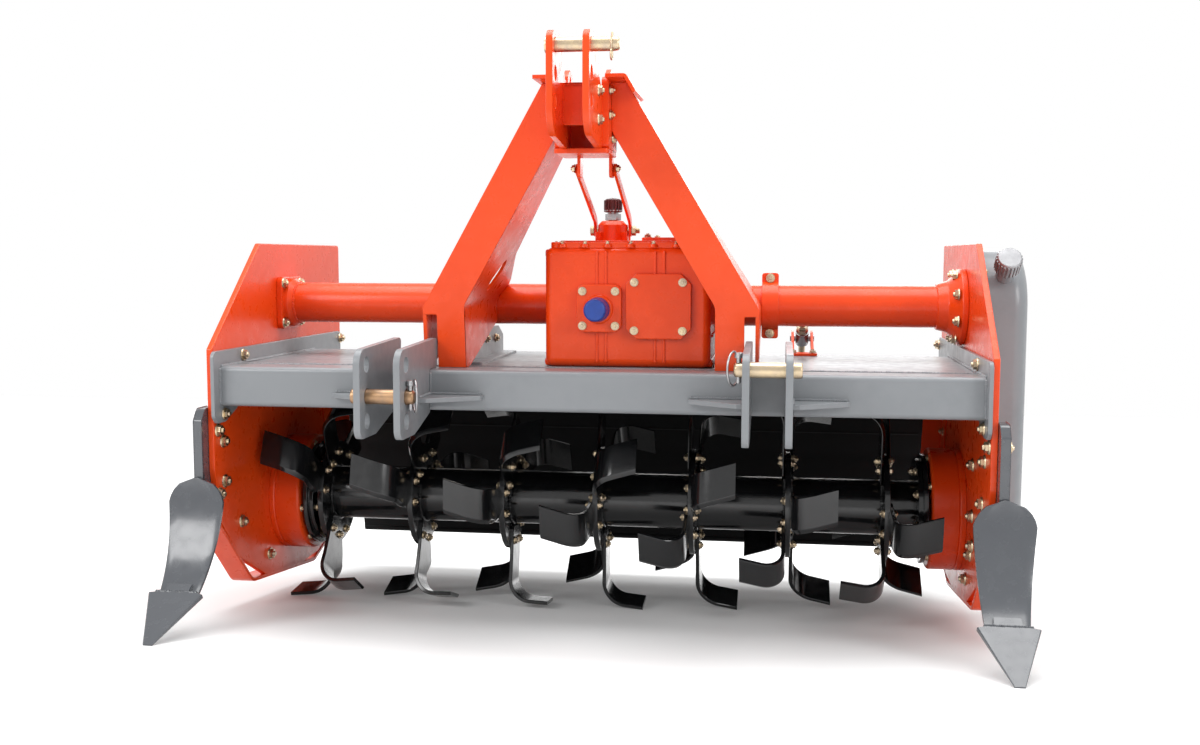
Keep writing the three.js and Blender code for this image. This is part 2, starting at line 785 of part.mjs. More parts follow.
// One knife: a flat stem on the flange that bends round towards one side and sweeps back
// against the way the rotor turns. Its path is drawn as (radius, x, sweep) along its middle.
function knife(side) {
  const halfWidth = knifeWidth / 2;
  const reach = Math.sqrt(rotorReach ** 2 - (knifeSweep + halfWidth) ** 2) - knifeThickness / 2;
  const bendSteps = 4;
  const stem = flangeThickness / 2 + knifeThickness / 2 - 1; // sunk a millimetre into the flange
  const path = [
    [knifeRoot, stem, 0],
    [flangeRadius + 6, stem, 0],
    [reach - knifeBend, stem, sweepBeforeBend],
  ];
  const slant = (knifeSweep - sweepBeforeBend) / (knifeReachAcross - stem);
  for (let i = 1; i <= bendSteps; i += 1) {
    const turn = ((i / bendSteps) * Math.PI) / 2;
    const inward = knifeBend * (1 - Math.sin(turn));
    const aside = knifeBend * (1 - Math.cos(turn));
    path.push([reach - inward, stem + aside, sweepBeforeBend + slant * aside]);
  }
  path.push([reach, knifeReachAcross, knifeSweep]);
  const positions = [];
  path.forEach(([radius, x, sweep], i) => {
    const before = path[Math.max(i - 1, 0)];
    const after = path[Math.min(i + 1, path.length - 1)];
    const along = new THREE.Vector2(after[0] - before[0], after[1] - before[1]).normalize();
    const half = knifeThickness / 2;
    const [nr, nx] = [along.y * half, -along.x * half];
    const wide = i === 0 ? halfWidth - 6 : halfWidth;
    for (const [face, edge] of [[1, -1], [1, 1], [-1, 1], [-1, -1]]) {
      const r = radius + nr * face;
      const across = (x + nx * face) * side;
      positions.push(across, sweep + edge * wide, r);
    }
  });
  const index = [];
  const quad = (a, b, c, d) => index.push(a, b, c, a, c, d);
  for (let i = 0; i + 1 < path.length; i += 1) {
    for (let k = 0; k < 4; k += 1) {
      const next = (k + 1) % 4;
      quad(4 * i + k, 4 * i + next, 4 * (i + 1) + next, 4 * (i + 1) + k);
    }
  }
  const last = 4 * (path.length - 1);
  quad(3, 2, 1, 0);
  quad(last, last + 1, last + 2, last + 3);
  const geometry = new THREE.BufferGeometry();
  geometry.setAttribute('position', new THREE.Float32BufferAttribute(positions, 3));
  geometry.setIndex(index);
  const made = solidOf(geometry);
  return made.volume() < 0 ? solidOf(flipped(mergeVertices(geometry, 1e-3))) : made;
}

// The knives stand in rows one flange's turn apart round the rotor, and as the machine parks
// two rows straddle the floor: the right-hand knives of the two flanges on either side of
// parkedFlange lead them.
const knifeLag = Math.asin((knifeSweep + knifeWidth / 2) / rotorReach) / degrees;
const floorReach = rotorReach * Math.cos((flangeTurn / 2) * degrees);
const tipDistance = Math.hypot(...shovelTip);
const parkingPitch = Math.asin(floorReach / tipDistance) - Math.atan2(-shovelTip[1], -shovelTip[0]);
const parkedFlange = 3.5;

function knifeSets() {
  for (let k = 0; k < flangeCount; k += 1) {
    const x = flangeMiddle + (k - (flangeCount - 1) / 2) * flangePitch;
    let set = ring(tubeRadius + gap, flangeRadius, [x - flangeThickness / 2, 0, 0], X, flangeThickness, 24);
    // Measured down from the front, the way the rotor turns.
    const below = 90 - parkingPitch / degrees + knifeLag + flangeTurn * (k - parkedFlange);
    for (let n = 0; n < pairsPerFlange; n += 1) {
      const turn = below + (n * 360) / pairsPerFlange;
      for (const [side, angle] of [[1, turn], [-1, turn + pairTurn]]) {
        // A knife is drawn with its stem up, a quarter turn before the front.
        const placed = knife(side)
          .rotate([angle + 90, 0, 0])
          .translate([x, 0, 0]);
        set = set.add(placed);
      }
    }
    add(`knife_set_${k + 1}`, black, set);
  }
}

function drums() {
  const bore = 70;
  const floorThickness = 12;
  const shell = [
    [0, bore],
    [0, drumRadius],
    [drumDepth, drumRadius],
    [drumDepth, 0],
    [-run - step, 0],
    [-run - step, journalRadius - 2 * gap],
    [floorThickness, journalRadius - 2 * gap],
    [floorThickness, bore],
    [0, bore],
  ];
  const drum = turned(shell, [drumInner, 0, 0], X, 24);
  add('bearing_drum_right', orange, drum);
  add('bearing_drum_left', orange, mirrored(drum));
}

// Behind each drum an angle stands on its side plate and closes the way past the trailing board.
function baffles() {
  const low = [baffleBack, baffleLow];
  const high = [baffleBack - (baffleHigh - baffleLow) * Math.tan(baffleLean * degrees), baffleHigh];
  const outer = halfInside - gap;
  const inward = acrossX(sheet([high, low], baffleThickness), outer - baffleWidth, outer);
  const seat = [
    [low[0] - baffleThickness, low[1]],
    low,
    high,
    [high[0] - baffleSeat, high[1]],
    [low[0] - baffleSeat, low[1]],
  ];
  const baffle = joined(inward, acrossX(seat, outer - baffleThickness, outer));
  add('side_baffle_right', orange, baffle);
  add('side_baffle_left', orange, mirrored(baffle));
}

// ---- Track shovels ----------------------------------------------------------------------

function shovels() {
  const front = -430;
  const top = 102;
  const low = [-534, -106];
  // The blade's middle line, curving forward down to the point's root.
  const curve = new THREE.QuadraticBezierCurve(
    new THREE.Vector2(front + 4, top),
    new THREE.Vector2(front - 6, -30),
    new THREE.Vector2(...low),
  );
  const backLine = curve.getPoints(8).map((p) => p.toArray()).reverse();
  const half = shovelWidth / 2;
  const span = [shovelAcross - shovelWidth, shovelAcross + shovelWidth];
  const side = acrossX(sheet(backLine, shovelThickness), ...span);
  const face = new THREE.Shape();
  const narrow = 40;
  const lean = 10; // the blade's lower end stands a little further in
  face.moveTo(shovelAcross - lean - narrow, low[1] - 40);
  face.lineTo(shovelAcross - lean + narrow, low[1] - 40);
  face.lineTo(shovelAcross + half, top - half);
  face.absarc(shovelAcross, top - half, half, 0, Math.PI);
  const blade = side.intersect(alongY(face, -700, -300));
  add('shovel_blade_right', grey, blade);
  add('shovel_blade_left', grey, mirrored(blade));

  const [tipY, tipZ] = shovelTip;
  const along = new THREE.Vector2(tipY - low[0], tipZ - low[1]).normalize();
  const across = new THREE.Vector2(along.y, -along.x);
  const root = new THREE.Vector2(...low).addScaledVector(across, gap);
  const thick = 11;
  const rootBack = root.clone().addScaledVector(along, -22);
  const section = [
    rootBack.toArray(),
    [tipY + 14, tipZ],
    [tipY, tipZ],
    [tipY + 3, tipZ + thick - 2],
    rootBack.clone().addScaledVector(across, thick).toArray(),
  ];
  const middle = shovelAcross - lean;
  const plan = upZ(
    [
      [middle - 56, low[0] + 6],
      [middle - 10, tipY - 4],
      [middle + 10, tipY - 4],
      [middle + 56, low[0] + 6],
      [middle + 26, low[0] + 60],
      [middle - 26, low[0] + 60],
    ],
    -300,
    0,
  );
  const lifted = acrossX(section, ...span).intersect(plan);
  const bladeRoom = side.translate([0, across.x * gap, across.y * gap]);
  const point = cut(lifted, joined(side, bladeRoom));
  add('shovel_point_right', grey, point);
  add('shovel_point_left', grey, mirrored(point));

  const plateOuter = halfInside + sidePlateThickness + gap;
  const shankThickness = 18;
  const bar = [[-460, -24], [-344, 10], [-344, 236], [-400, 236], [-424, 200], [-460, 110]];
  const seatLine = sheet(backLine, shovelThickness + gap).slice(backLine.length).reverse();
  seatLine.push([seatLine.at(-1)[0], 300]);
  const shank = cut(
    acrossX(bar, plateOuter, plateOuter + shankThickness),
    acrossX([...seatLine, [-700, 300], [-700, low[1]]], ...span),
  );
  add('shovel_shank_right', grey, shank);
  add('shovel_shank_left', grey, mirrored(shank));
}

// ---- Three-point hitch --------------------------------------------------------------------

function hitchPlates() {
  const holes = [341, 282, 236];
  const outline = [
    [hitchFront, 206],
    [hitchFront + 90, 206],
    [beamFront - gap, beamBottom - 4],
    [beamFront - gap, beamTop + gap],
    [beamFront + 52, beamTop + gap],
    [beamFront + 60, 374],
    [beamFront + 48, 378],
    [hitchFront + 8, 370],
    [hitchFront, 362],
  ];
  const gussetZ = 262;
  const gussetThickness = 9;
  const pinBack = 40; // from the plates' front edges to the pins
  for (const [name, side, pinHole] of [['left', -1, 1], ['right', 1, 0]]) {
    const middle = hitchCentre + (side * hitchSpacing) / 2;
    for (const [face, outward] of [['outer', side], ['inner', -side]]) {
      const near = middle + (outward * hitchGap) / 2;
      const far = near + outward * hitchPlate;
      const [x0, x1] = [Math.min(near, far), Math.max(near, far)];
      const bores = holes.map((z) =>
        rod(hitchPinRadius + 0.5, [x0 - 5, hitchFront + pinBack, z], X, hitchPlate + 10, 16),
      );
      const plate = cut(acrossX(outline, x0, x1), ...bores);
      const gussetSide = [
        [far - outward * 4, hitchFront + 118],
        [far + outward * 18, hitchFront + 118],
        [far + outward * 106, beamFront - gap],
        [far - outward * 4, beamFront - gap],
      ];
      const gussetOutline = outward > 0 ? gussetSide : gussetSide.reverse();
      const gusset = upZ(gussetOutline, gussetZ, gussetZ + gussetThickness);
      add(`hitch_plate_${name}_${face}`, grey, joined(plate, gusset));
    }
    const pinZ = holes[pinHole];
    const length = hitchGap + 2 * hitchPlate + 32;
    const head = side < 0 ? [middle - length / 2, 1] : [middle + length / 2, -1];
    const pin = turned(
      [[0, 0], [0, 12], [2, hitchPinRadius], [length - 3, hitchPinRadius], [length, 11], [length, 0]],
      [head[0], hitchFront + pinBack, pinZ],
      [head[1], 0, 0],
    );
    add(`hitch_pin_${name}`, zinc, pin);
  }
}

// ---- Mast -------------------------------------------------------------------------------

const cheekOuter = lugGap / 2 + lugThickness + 13;

const legRise = (legTopZ - legKneeZ) / (legHalfFoot - legHalfTop);
const legSlope = Math.atan(legRise);

function mastLegs() {
  const across = legWidth / Math.sin(legSlope);
  const outerAt = (z) => legHalfFoot - (z - legKneeZ) / legRise;
  const innerAt = (z) => outerAt(z) - across;
  const footInner = legHalfFoot - 84;
  const innerKneeZ = legKneeZ + legRise * (legHalfFoot - footInner - across);
  const topInnerX = cheekOuter + gap;
  const topInnerZ = legKneeZ + legRise * (legHalfFoot - across - topInnerX);
  const footZ = beamTop + gap;
  const outline = [
    [footInner, footZ],
    [legHalfFoot, footZ],
    [legHalfFoot, legKneeZ],
    [outerAt(legTopZ), legTopZ],
    [topInnerX, legTopZ],
    [topInnerX, topInnerZ],
    [innerAt(innerKneeZ), innerKneeZ],
  ];
  const footFront = beamFront + 53;
  const topFront = footFront - 60;
  const side = [
    [footFront, footZ],
    [footFront + 34, footZ],
    [-60, axleZ - 42],
    [0, axleZ - 20],
    [0, axleZ + 44],
    [-120, axleZ + 110],
    [-206, legTopZ - 107],
    [topFront + 130, legTopZ],
    [topFront, legTopZ],
  ];
  const hollowSide = [
    [footFront + legWall, footZ - 5],
    [200, footZ - 5],
    [200, legTopZ + 5],
    [topFront + legWall, legTopZ + 5],
  ];
  const outer = alongY(outline, topFront - 10, 10).intersect(acrossX(side, 0, 500));
  const hollow = alongY(inset(outline, legWall), topFront - 10, 60).intersect(acrossX(hollowSide, 0, 500));
  const slotInner = hitchSpacing / 2 - hitchGap / 2 - hitchPlate - 3;
  const slotTop = legKneeZ - 14;
  const slot = box(slotInner, legHalfFoot - legWall, footFront - 60, footFront + 60, footZ - 1, slotTop);
  const tubeRoom = rod(axleRadius + gap, [0, 0, axleZ], X, 500, 20);
  const oval = acrossX(ovalOutline(-190, legKneeZ + 62, 34, 18, 60), 100, legHalfFoot - 40);
  const clampRoom = box(0, 260, -60, 20, 300, axleZ - 30);
  const leg = cut(outer, hollow, slot, tubeRoom, oval, clampRoom);
  const gearboxRoom = box(0, footInner - hitchCentre + 3.5, housingFront - 12, 100, 300, housingTop + 34);
  add('mast_leg_right', orange, cut(leg, gearboxRoom).translate([hitchCentre, 0, 0]));
  add('mast_leg_left', orange, mirrored(leg).translate([hitchCentre, 0, 0]));
}

// A slot with round ends, tilted by an angle in degrees, as an outline in (y, z).
function ovalOutline(y, z, halfLength, radius, tilt) {
  const points = [];
  const corners = 12;
  for (let i = 0; i < corners; i += 1) {
    const angle = ((i + 0.5) * 2 * Math.PI) / corners;
    const u = Math.cos(angle) * radius + Math.sign(Math.cos(angle)) * (halfLength - radius);
    const v = Math.sin(angle) * radius;
    const turn = tilt * degrees;
    points.push([y + u * Math.cos(turn) - v * Math.sin(turn), z + u * Math.sin(turn) + v * Math.cos(turn)]);
  }
  return points;
}

function mastHead() {
  const back = -300;
  const front = -462;
  const top = headTop;
  const bottom = headBottom;
  const plateThickness = 10;
  const roofThickness = 8;
  const floorThickness = 9;
  const cheekFront = -412;
  const cheekTop = top + 18;
  const inner = lugGap / 2;
  const lugOuter = inner + lugThickness;
  const sunk = 1; // into the piece that it is welded to
  const plate = box(-inner - sunk, inner + sunk, front, front + plateThickness, top - 76, top);
  const roof = box(-inner - sunk, inner + sunk, front, back, top - roofThickness, top);
  const rear = box(-cheekOuter, cheekOuter, back - plateThickness, back, bottom, top);
  const floorPlate = box(-cheekOuter, cheekOuter, back - 120, back, bottom - floorThickness, bottom);

  const earAcross = 40;
  const earThickness = 10;
  const ear = [
    [back - 60, top - 6],
    [back - 2, top - 6],
    [back - 2, top + 34],
    [back - 30, top + 42],
    [back - 56, top + 26],
  ];
  const tabThickness = 6;
  const pairs = [-1, 1].map((side) => {
    const [x0, x1] = side > 0 ? [lugOuter - sunk, cheekOuter] : [-cheekOuter, sunk - lugOuter];
    const cheek = box(x0, x1, cheekFront, back, bottom, cheekTop);
    const earX = side * earAcross;
    const upright = acrossX(ear, earX - earThickness / 2, earX + earThickness / 2);
    // The tab lies against the inner face of its stay.
    const face = neckX - hitchCentre + side * (stayAcross - stayThickness / 2 - gap);
    const [t0, t1] = side > 0 ? [face - tabThickness, face] : [face, face + tabThickness];
    const tab = box(t0, t1, back - 34, back, stayTop[1] - 8, bottom - sunk);
    return joined(cheek, upright, tab);
  });

  // A plate caps each leg, and the right one turns down over the leg's outer wall.
  const capThickness = 7;
  const capTop = legTopZ + gap + capThickness;
  const capEnd = 86;
  const flapDrop = 32;
  const flap = [capEnd + flapDrop / legRise, capTop - flapDrop];
  const capFor = (line) => alongY(sheet(line, capThickness), -446, back - plateThickness);
  const flatCap = capFor([[cheekOuter - 3, capTop], [capEnd, capTop]]);
  const foldedCap = capFor([[cheekOuter - 3, capTop], [capEnd, capTop], flap]);

  const lugBack = -404;
  const lugTop = topPinZ + 24;
  const lugEnd = 24;
  const lug = new THREE.Shape();
  lug.moveTo(hitchFront, top - 52);
  lug.lineTo(hitchFront, topPinZ);
  lug.absarc(hitchFront + lugEnd, topPinZ, lugEnd, Math.PI, Math.PI / 2, true);
  lug.lineTo(-488, lugTop);
  lug.lineTo(-440, legTopZ);
  lug.lineTo(lugBack, top - 12);
  lug.lineTo(lugBack, bottom);
  lug.lineTo(lugBack - 30, bottom);
  lug.quadraticCurveTo(hitchFront + 6, bottom + 14, hitchFront, top - 52);
  const holePitch = 48;
  const pinY = hitchFront + 32;
  const holes = [0, 1, 2].map((k) =>
    rod(topPinRadius + 0.5, [inner - 5, pinY, topPinZ - k * holePitch], X, lugThickness + 10, 16),
  );
  const rightLug = cut(acrossX(lug, inner, lugOuter), ...holes);
  const right = joined(foldedCap, rightLug);
  const left = mirrored(joined(flatCap, rightLug));
  const head = joined(plate, roof, rear, floorPlate, ...pairs, right, left);
  add('mast_head', orange, head.translate([hitchCentre, 0, 0]));

  const pinLength = 132;
  const pinHead = 6;
  const pin = turned(
    [
      [0, 0],
      [0, 13],
      [2, 15],
      [pinHead, 15],
      [pinHead, topPinRadius],
      [pinLength - 2, topPinRadius],
      [pinLength, 11],
      [pinLength, 0],
    ],
    [hitchCentre - lugOuter - pinHead - gap, pinY, topPinZ],
    X,
  );
  add('top_link_pin', zinc, pin);
}

// Two flat stays from tabs under the mast's head down to the neck of the gearbox lid, where one
// bolt goes through both stays and the neck.
function stays() {
  const strapWidth = 26;
  const boltPlace = [neckY, stayBoltZ];
  const front = neckY - strapWidth / 2;
  const line = [[front, stayBoltZ - 14], [front, stayBoltZ + 14], stayTop];
  for (const [name, side] of [['left', -1], ['right', 1]]) {
    const middle = neckX + side * stayAcross;
    const strap = acrossX(sheet(line, strapWidth), middle - stayThickness / 2, middle + stayThickness / 2);
    const hole = rod(stayBoltRadius + gap, [middle - 10, ...boltPlace], X, 20);
    add(`mast_stay_${name}`, orange, cut(strap, hole));
  }
  const outside = neckX - stayAcross - stayThickness / 2 - gap;
  const length = 2 * (stayAcross + stayThickness / 2 + gap);
  const headThickness = 8;
  const headRadius = 10;
  const nutEnd = length + 10;
  const bolt = turned(
    [
      [-headThickness, 0],
      [-headThickness, headRadius],
      [0, headRadius],
      [0, stayBoltRadius],
      [length, stayBoltRadius],
      [length, headRadius],
      [nutEnd, headRadius],
      [nutEnd, stayBoltRadius],
      [nutEnd + 6, stayBoltRadius],
      [nutEnd + 6, 0],
    ],
    [outside, ...boltPlace],
    X,
    12,
  );
  add('mast_stay_bolt', zinc, bolt);
}

function tubeClamps() {
  const start = legHalfFoot + gap;
  const width = 36;
  const band = ring(axleRadius + gap, axleRadius + 8, [start, 0, axleZ], X, width, 20);
  const lugHalf = 12;
  const lugRoot = axleRadius + 2;
  const lugEnd = axleRadius + 24;
  const upper = box(start, start + width, -lugHalf, lugHalf, axleZ + lugRoot, axleZ + lugEnd);
  const lower = box(start, start + width, -lugHalf, lugHalf, axleZ - lugEnd, axleZ - lugRoot);
  const split = box(start - 1, start + width + 4, -1, 1, axleZ - lugEnd - 6, axleZ - axleRadius + 5);
  const clamp = cut(joined(band, upper, lower), split).translate([hitchCentre, 0, 0]);
  add('tube_clamp_right', orange, clamp);
  add('tube_clamp_left', orange, mirrored(clamp, hitchCentre));
}

sidePlates();
endPlates();
beam();
deck();
trailingBoard();
supportRods();
axleTubes();
gearbox();
gearCase();
rotorTube();
knifeSets();
drums();
baffles();
shovels();
hitchPlates();
mastLegs();
mastHead();
stays();
tubeClamps();

// Parked: pitched onto the shovel points, and moved so that the origin is the middle of the
// machine's box at floor level.
machine.rotation.x = parkingPitch;
const tiller = new THREE.Group();
tiller.add(machine);
tiller.updateMatrixWorld(true);
const bounds = new THREE.Box3().setFromObject(machine, true);
const middle = bounds.getCenter(new THREE.Vector3());
machine.position.set(-middle.x, -middle.y, -bounds.min.z);

export default tiller;
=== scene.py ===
import json
import math

import bmesh
import bpy
from mathutils import Matrix, Vector


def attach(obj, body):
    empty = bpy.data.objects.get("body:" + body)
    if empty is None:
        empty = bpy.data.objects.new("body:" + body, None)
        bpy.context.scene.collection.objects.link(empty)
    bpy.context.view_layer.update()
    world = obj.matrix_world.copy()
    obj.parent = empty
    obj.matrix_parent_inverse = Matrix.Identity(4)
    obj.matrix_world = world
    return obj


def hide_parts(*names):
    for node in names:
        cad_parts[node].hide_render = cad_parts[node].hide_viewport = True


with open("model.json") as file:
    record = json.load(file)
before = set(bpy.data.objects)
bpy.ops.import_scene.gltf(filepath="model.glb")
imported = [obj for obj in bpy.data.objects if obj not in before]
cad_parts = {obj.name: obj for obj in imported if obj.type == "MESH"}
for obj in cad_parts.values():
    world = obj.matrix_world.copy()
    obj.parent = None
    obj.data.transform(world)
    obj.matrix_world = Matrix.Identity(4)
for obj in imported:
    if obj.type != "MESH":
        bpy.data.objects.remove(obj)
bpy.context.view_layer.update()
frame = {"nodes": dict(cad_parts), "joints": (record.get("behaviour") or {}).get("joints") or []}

# The tiller is drawn in millimetres in its own frame: x across the working width, y back from
# the tractor, z up, from the rotor's axis. The machine stands pitched forward by PITCH.
JOINTS = {joint["name"]: joint for joint in frame["joints"]}
DRIVE = JOINTS["input_shaft_spin"]["axis"]
PITCH = math.atan2(DRIVE[2], DRIVE[1])
ROTOR_AXIS = Vector(JOINTS["rotor_spin"]["pos_m"])
TILT = Matrix.Rotation(PITCH, 4, "X")
MACHINE = Matrix.Translation(ROTOR_AXIS) @ TILT @ Matrix.Scale(0.001, 4)
SIDES = (("left", -1), ("right", 1))


def span(node):
    """A CAD node's box in the machine's own frame: (low corner, high corner)."""
    to_machine = MACHINE.inverted()
    points = [to_machine @ vertex.co for vertex in frame["nodes"][node].data.vertices]
    low = Vector([min(point[i] for point in points) for i in range(3)])
    high = Vector([max(point[i] for point in points) for i in range(3)])
    return low, high


# ---- Driving sizes --------------------------------------------------------------------------

PLATE_LOW, PLATE_HIGH = span("side_plate_right")
HALF_INSIDE = PLATE_LOW.x
PLATE_OUTER = PLATE_HIGH.x
PLATE_FRONT, PLATE_BACK = PLATE_LOW.y, PLATE_HIGH.y
PLATE_TOP = PLATE_HIGH.z
SKID_OUTER = span("skid_right")[1].x
END_PLATE = span("end_plate_right")
BEAM_LOW, BEAM_HIGH = span("front_beam")
BEAM_END = BEAM_HIGH.x
DECK_TOP = BEAM_HIGH.z - 2
TUBE_Z = (span("axle_tube_left")[0].z + span("axle_tube_left")[1].z) / 2
HOUSING_LOW, HOUSING_HIGH = span("gearbox_housing")
SHAFT_LOW, SHAFT_HIGH = span("input_shaft")
SHAFT_X = (SHAFT_LOW.x + SHAFT_HIGH.x) / 2
CASE_LOW, CASE_HIGH = span("gear_case")
HINGE = MACHINE.inverted() @ Vector(JOINTS["trailing_board"]["pos_m"])
TRUNNION = MACHINE.inverted() @ Vector(JOINTS["trunnion_right_swing"]["pos_m"])
ROD_LINE = (TILT.inverted() @ Vector(JOINTS["support_rod_right_slide"]["axis"])).normalized()
ROD_X = TRUNNION.x
TOP_PIN_LOW, TOP_PIN_HIGH = span("top_link_pin")
TOP_PIN = (TOP_PIN_LOW + TOP_PIN_HIGH) / 2
HITCH_X = -4.0
TUBE_RADIUS = 44.5
ROTOR_TUBE_RADIUS = 60.0
FLANGE_RADIUS = 116.0
FLANGE_THICKNESS = 12.0
FLANGE_PITCH = 205.0
FLANGE_MIDDLE = -22.0
FLANGE_COUNT = 7
FLANGE_TURN = 12.0
PAIR_TURN = 3 * FLANGE_TURN
PAIRS_PER_FLANGE = 3
PARKED_FLANGE = 3.5
ROTOR_REACH = 242.0
KNIFE_WIDTH = 74.0
KNIFE_THICKNESS = 8.0
KNIFE_SWEEP = 34.0
KNIFE_BEND = 46.0
KNIFE_ROOT = 64.0
SWEEP_BEFORE_BEND = 8.0
KNIFE_ACROSS = 98.0
DRUM_RADIUS = 130.0
GAP = 0.3


# ---- Finishes -------------------------------------------------------------------------------


def nodes_of(name):
    material = bpy.data.materials.new(name)
    material.use_nodes = True
    tree = material.node_tree
    return material, tree, tree.nodes["Principled BSDF"]


def feed(tree, socket, value):
    """Sets a socket to a value, or links it to another socket."""
    if isinstance(value, bpy.types.NodeSocket):
        tree.links.new(value, socket)
    else:
        socket.default_value = value


def node_on(tree, kind, inputs=(), **settings):
    """A node with its settings, its inputs set or linked by name or by place."""
    node = tree.nodes.new(kind)
    for name, value in settings.items():
        setattr(node, name, value)
    for key, value in dict(inputs).items():
        feed(tree, node.inputs[key], value)
    return node


def math_on(tree, operation, first, second):
    return node_on(tree, "ShaderNodeMath", {0: first, 1: second}, operation=operation).outputs[0]


def noise_on(tree, scale, detail=4.0, roughness=0.55):
    where = tree.nodes.new("ShaderNodeTexCoord").outputs["Object"]
    inputs = {"Vector": where, "Scale": scale, "Detail": detail, "Roughness": roughness}
    return node_on(tree, "ShaderNodeTexNoise", inputs).outputs["Fac"]


def ramp_on(tree, source, low, high, from_low=0.35, from_high=0.65):
    """A number from low to high as the source goes from from_low to from_high."""
    inputs = {"Value": source, "From Min": from_low, "From Max": from_high, "To Min": low, "To Max": high}
    return node_on(tree, "ShaderNodeMapRange", inputs).outputs["Result"]


def mix_on(tree, factor, first, second):
    inputs = {"Factor": factor, "A": (*first, 1), "B": (*second, 1)}
    return node_on(tree, "ShaderNodeMix", inputs, data_type="RGBA").outputs["Result"]


def finished(material, tree, shader, layers, values):
    """The material with its shader's values, and bumps stacked as (source, strength, distance)."""
    for name, value in values.items():
        feed(tree, shader.inputs[name], value)
    below = None
    for source, strength, distance in layers:
        inputs = {"Height": source, "Strength": strength, "Distance": distance}
        if below:
            inputs["Normal"] = below
        below = node_on(tree, "ShaderNodeBump", inputs).outputs["Normal"]
    tree.links.new(below, shader.inputs["Normal"])
    return material


def paint(name, colour, dusty, roughness, coat, shine, texture=0.03):
    """Sprayed paint: a slow change of tone, fine orange peel, and a roughness that wanders."""
    material, tree, shader = nodes_of(name)
    tone, mottle = noise_on(tree, 5.0, 3.0), noise_on(tree, 42.0, 6.0)
    peel, ripple = noise_on(tree, 620.0, 2.0), noise_on(tree, 26.0, 2.0)
    factor = math_on(tree, "MULTIPLY", ramp_on(tree, tone, 0.0, 1.0), ramp_on(tree, mottle, 0.35, 1.0))
    values = {
        "Base Color": mix_on(tree, factor, colour, dusty),
        "Roughness": ramp_on(tree, mottle, roughness - 0.05, roughness + 0.09),
        "Specular IOR Level": shine,
        "Coat Weight": coat,
        "Coat Roughness": 0.12,
    }
    return finished(material, tree, shader, [(ripple, texture, 0.002), (peel, texture, 0.0004)], values)


def plated(name, colour, tint, roughness):
    """Zinc plate or worked steel: metal with a tint that drifts and fine tool marks."""
    material, tree, shader = nodes_of(name)
    drift, grain = noise_on(tree, 55.0, 4.0), noise_on(tree, 900.0, 3.0)
    values = {
        "Base Color": mix_on(tree, ramp_on(tree, drift, 0.0, 1.0), colour, tint),
        "Metallic": 1.0,
        "Roughness": ramp_on(tree, grain, roughness - 0.06, roughness + 0.1),
    }
    return finished(material, tree, shader, [(grain, 0.15, 0.0003)], values)


def plastic(name, colour, dull):
    material, tree, shader = nodes_of(name)
    cloud, grain = noise_on(tree, 90.0, 3.0), noise_on(tree, 1400.0, 2.0)
    values = {
        "Base Color": mix_on(tree, ramp_on(tree, cloud, 0.0, 1.0), colour, dull),
        "Roughness": ramp_on(tree, cloud, 0.32, 0.45),
    }
    return finished(material, tree, shader, [(grain, 0.2, 0.0002)], values)


ORANGE = paint("orange_enamel", (0.83, 0.068, 0.006), (0.74, 0.056, 0.005), 0.3, 0.12, 0.3, 0.014)
GREY = paint("grey_enamel", (0.225, 0.237, 0.25), (0.2, 0.212, 0.225), 0.34, 0.2, 0.4)
BLACK = paint("black_gloss", (0.0055, 0.0058, 0.0065), (0.009, 0.0095, 0.0105), 0.18, 0.34, 0.4, 0.05)
MATT = paint("black_matt", (0.0035, 0.0036, 0.004), (0.005, 0.0052, 0.0056), 0.5, 0.0, 0.16)
SLATE = paint("slate_enamel", (0.062, 0.068, 0.078), (0.052, 0.057, 0.066), 0.22, 0.6, 0.5, 0.05)
ZINC = plated("yellow_zinc", (0.60, 0.48, 0.31), (0.47, 0.38, 0.28), 0.3)
COPPER = plated("brown_zinc", (0.40, 0.24, 0.13), (0.30, 0.20, 0.13), 0.34)
STEEL = plated("worked_steel", (0.42, 0.42, 0.42), (0.33, 0.33, 0.34), 0.32)
ALLOY = plated("cast_alloy", (0.36, 0.36, 0.37), (0.29, 0.29, 0.3), 0.5)
BLUE = plastic("blue_cap", (0.006, 0.038, 0.24), (0.008, 0.048, 0.28))
MAROON = plastic("breather_plastic", (0.07, 0.012, 0.014), (0.1, 0.02, 0.02))


# ---- Making meshes --------------------------------------------------------------------------


def mesh_from(bm):
    mesh = bpy.data.meshes.new("raw")
    bm.to_mesh(mesh)
    bm.free()
    return mesh


def joined(*meshes):
    bm = bmesh.new()
    for mesh in meshes:
        bm.from_mesh(mesh)
        bpy.data.meshes.remove(mesh)
    return mesh_from(bm)


def placed(mesh, *steps):
    """A mesh after the steps (matrices), the first one first."""
    for step in steps:
        mesh.transform(step)
        if step.determinant() < 0:
            mesh.flip_normals()
    return mesh


def shift(x=0.0, y=0.0, z=0.0):
    return Matrix.Translation((x, y, z))


def mirror():
    return Matrix.Scale(-1, 4, (1, 0, 0))


def towards(axis):
    """The turn that lays z along an axis."""
    return Vector((0, 0, 1)).rotation_difference(Vector(axis)).to_matrix().to_4x4()


def evaluated(obj):
    """The plain mesh that an object and its modifiers come to. The object is removed."""
    depsgraph = bpy.context.evaluated_depsgraph_get()
    mesh = bpy.data.meshes.new_from_object(obj.evaluated_get(depsgraph))
    data = obj.data
    bpy.data.objects.remove(obj)
    if isinstance(data, bpy.types.Mesh):
        bpy.data.meshes.remove(data)
    else:
        bpy.data.curves.remove(data)
    return mesh


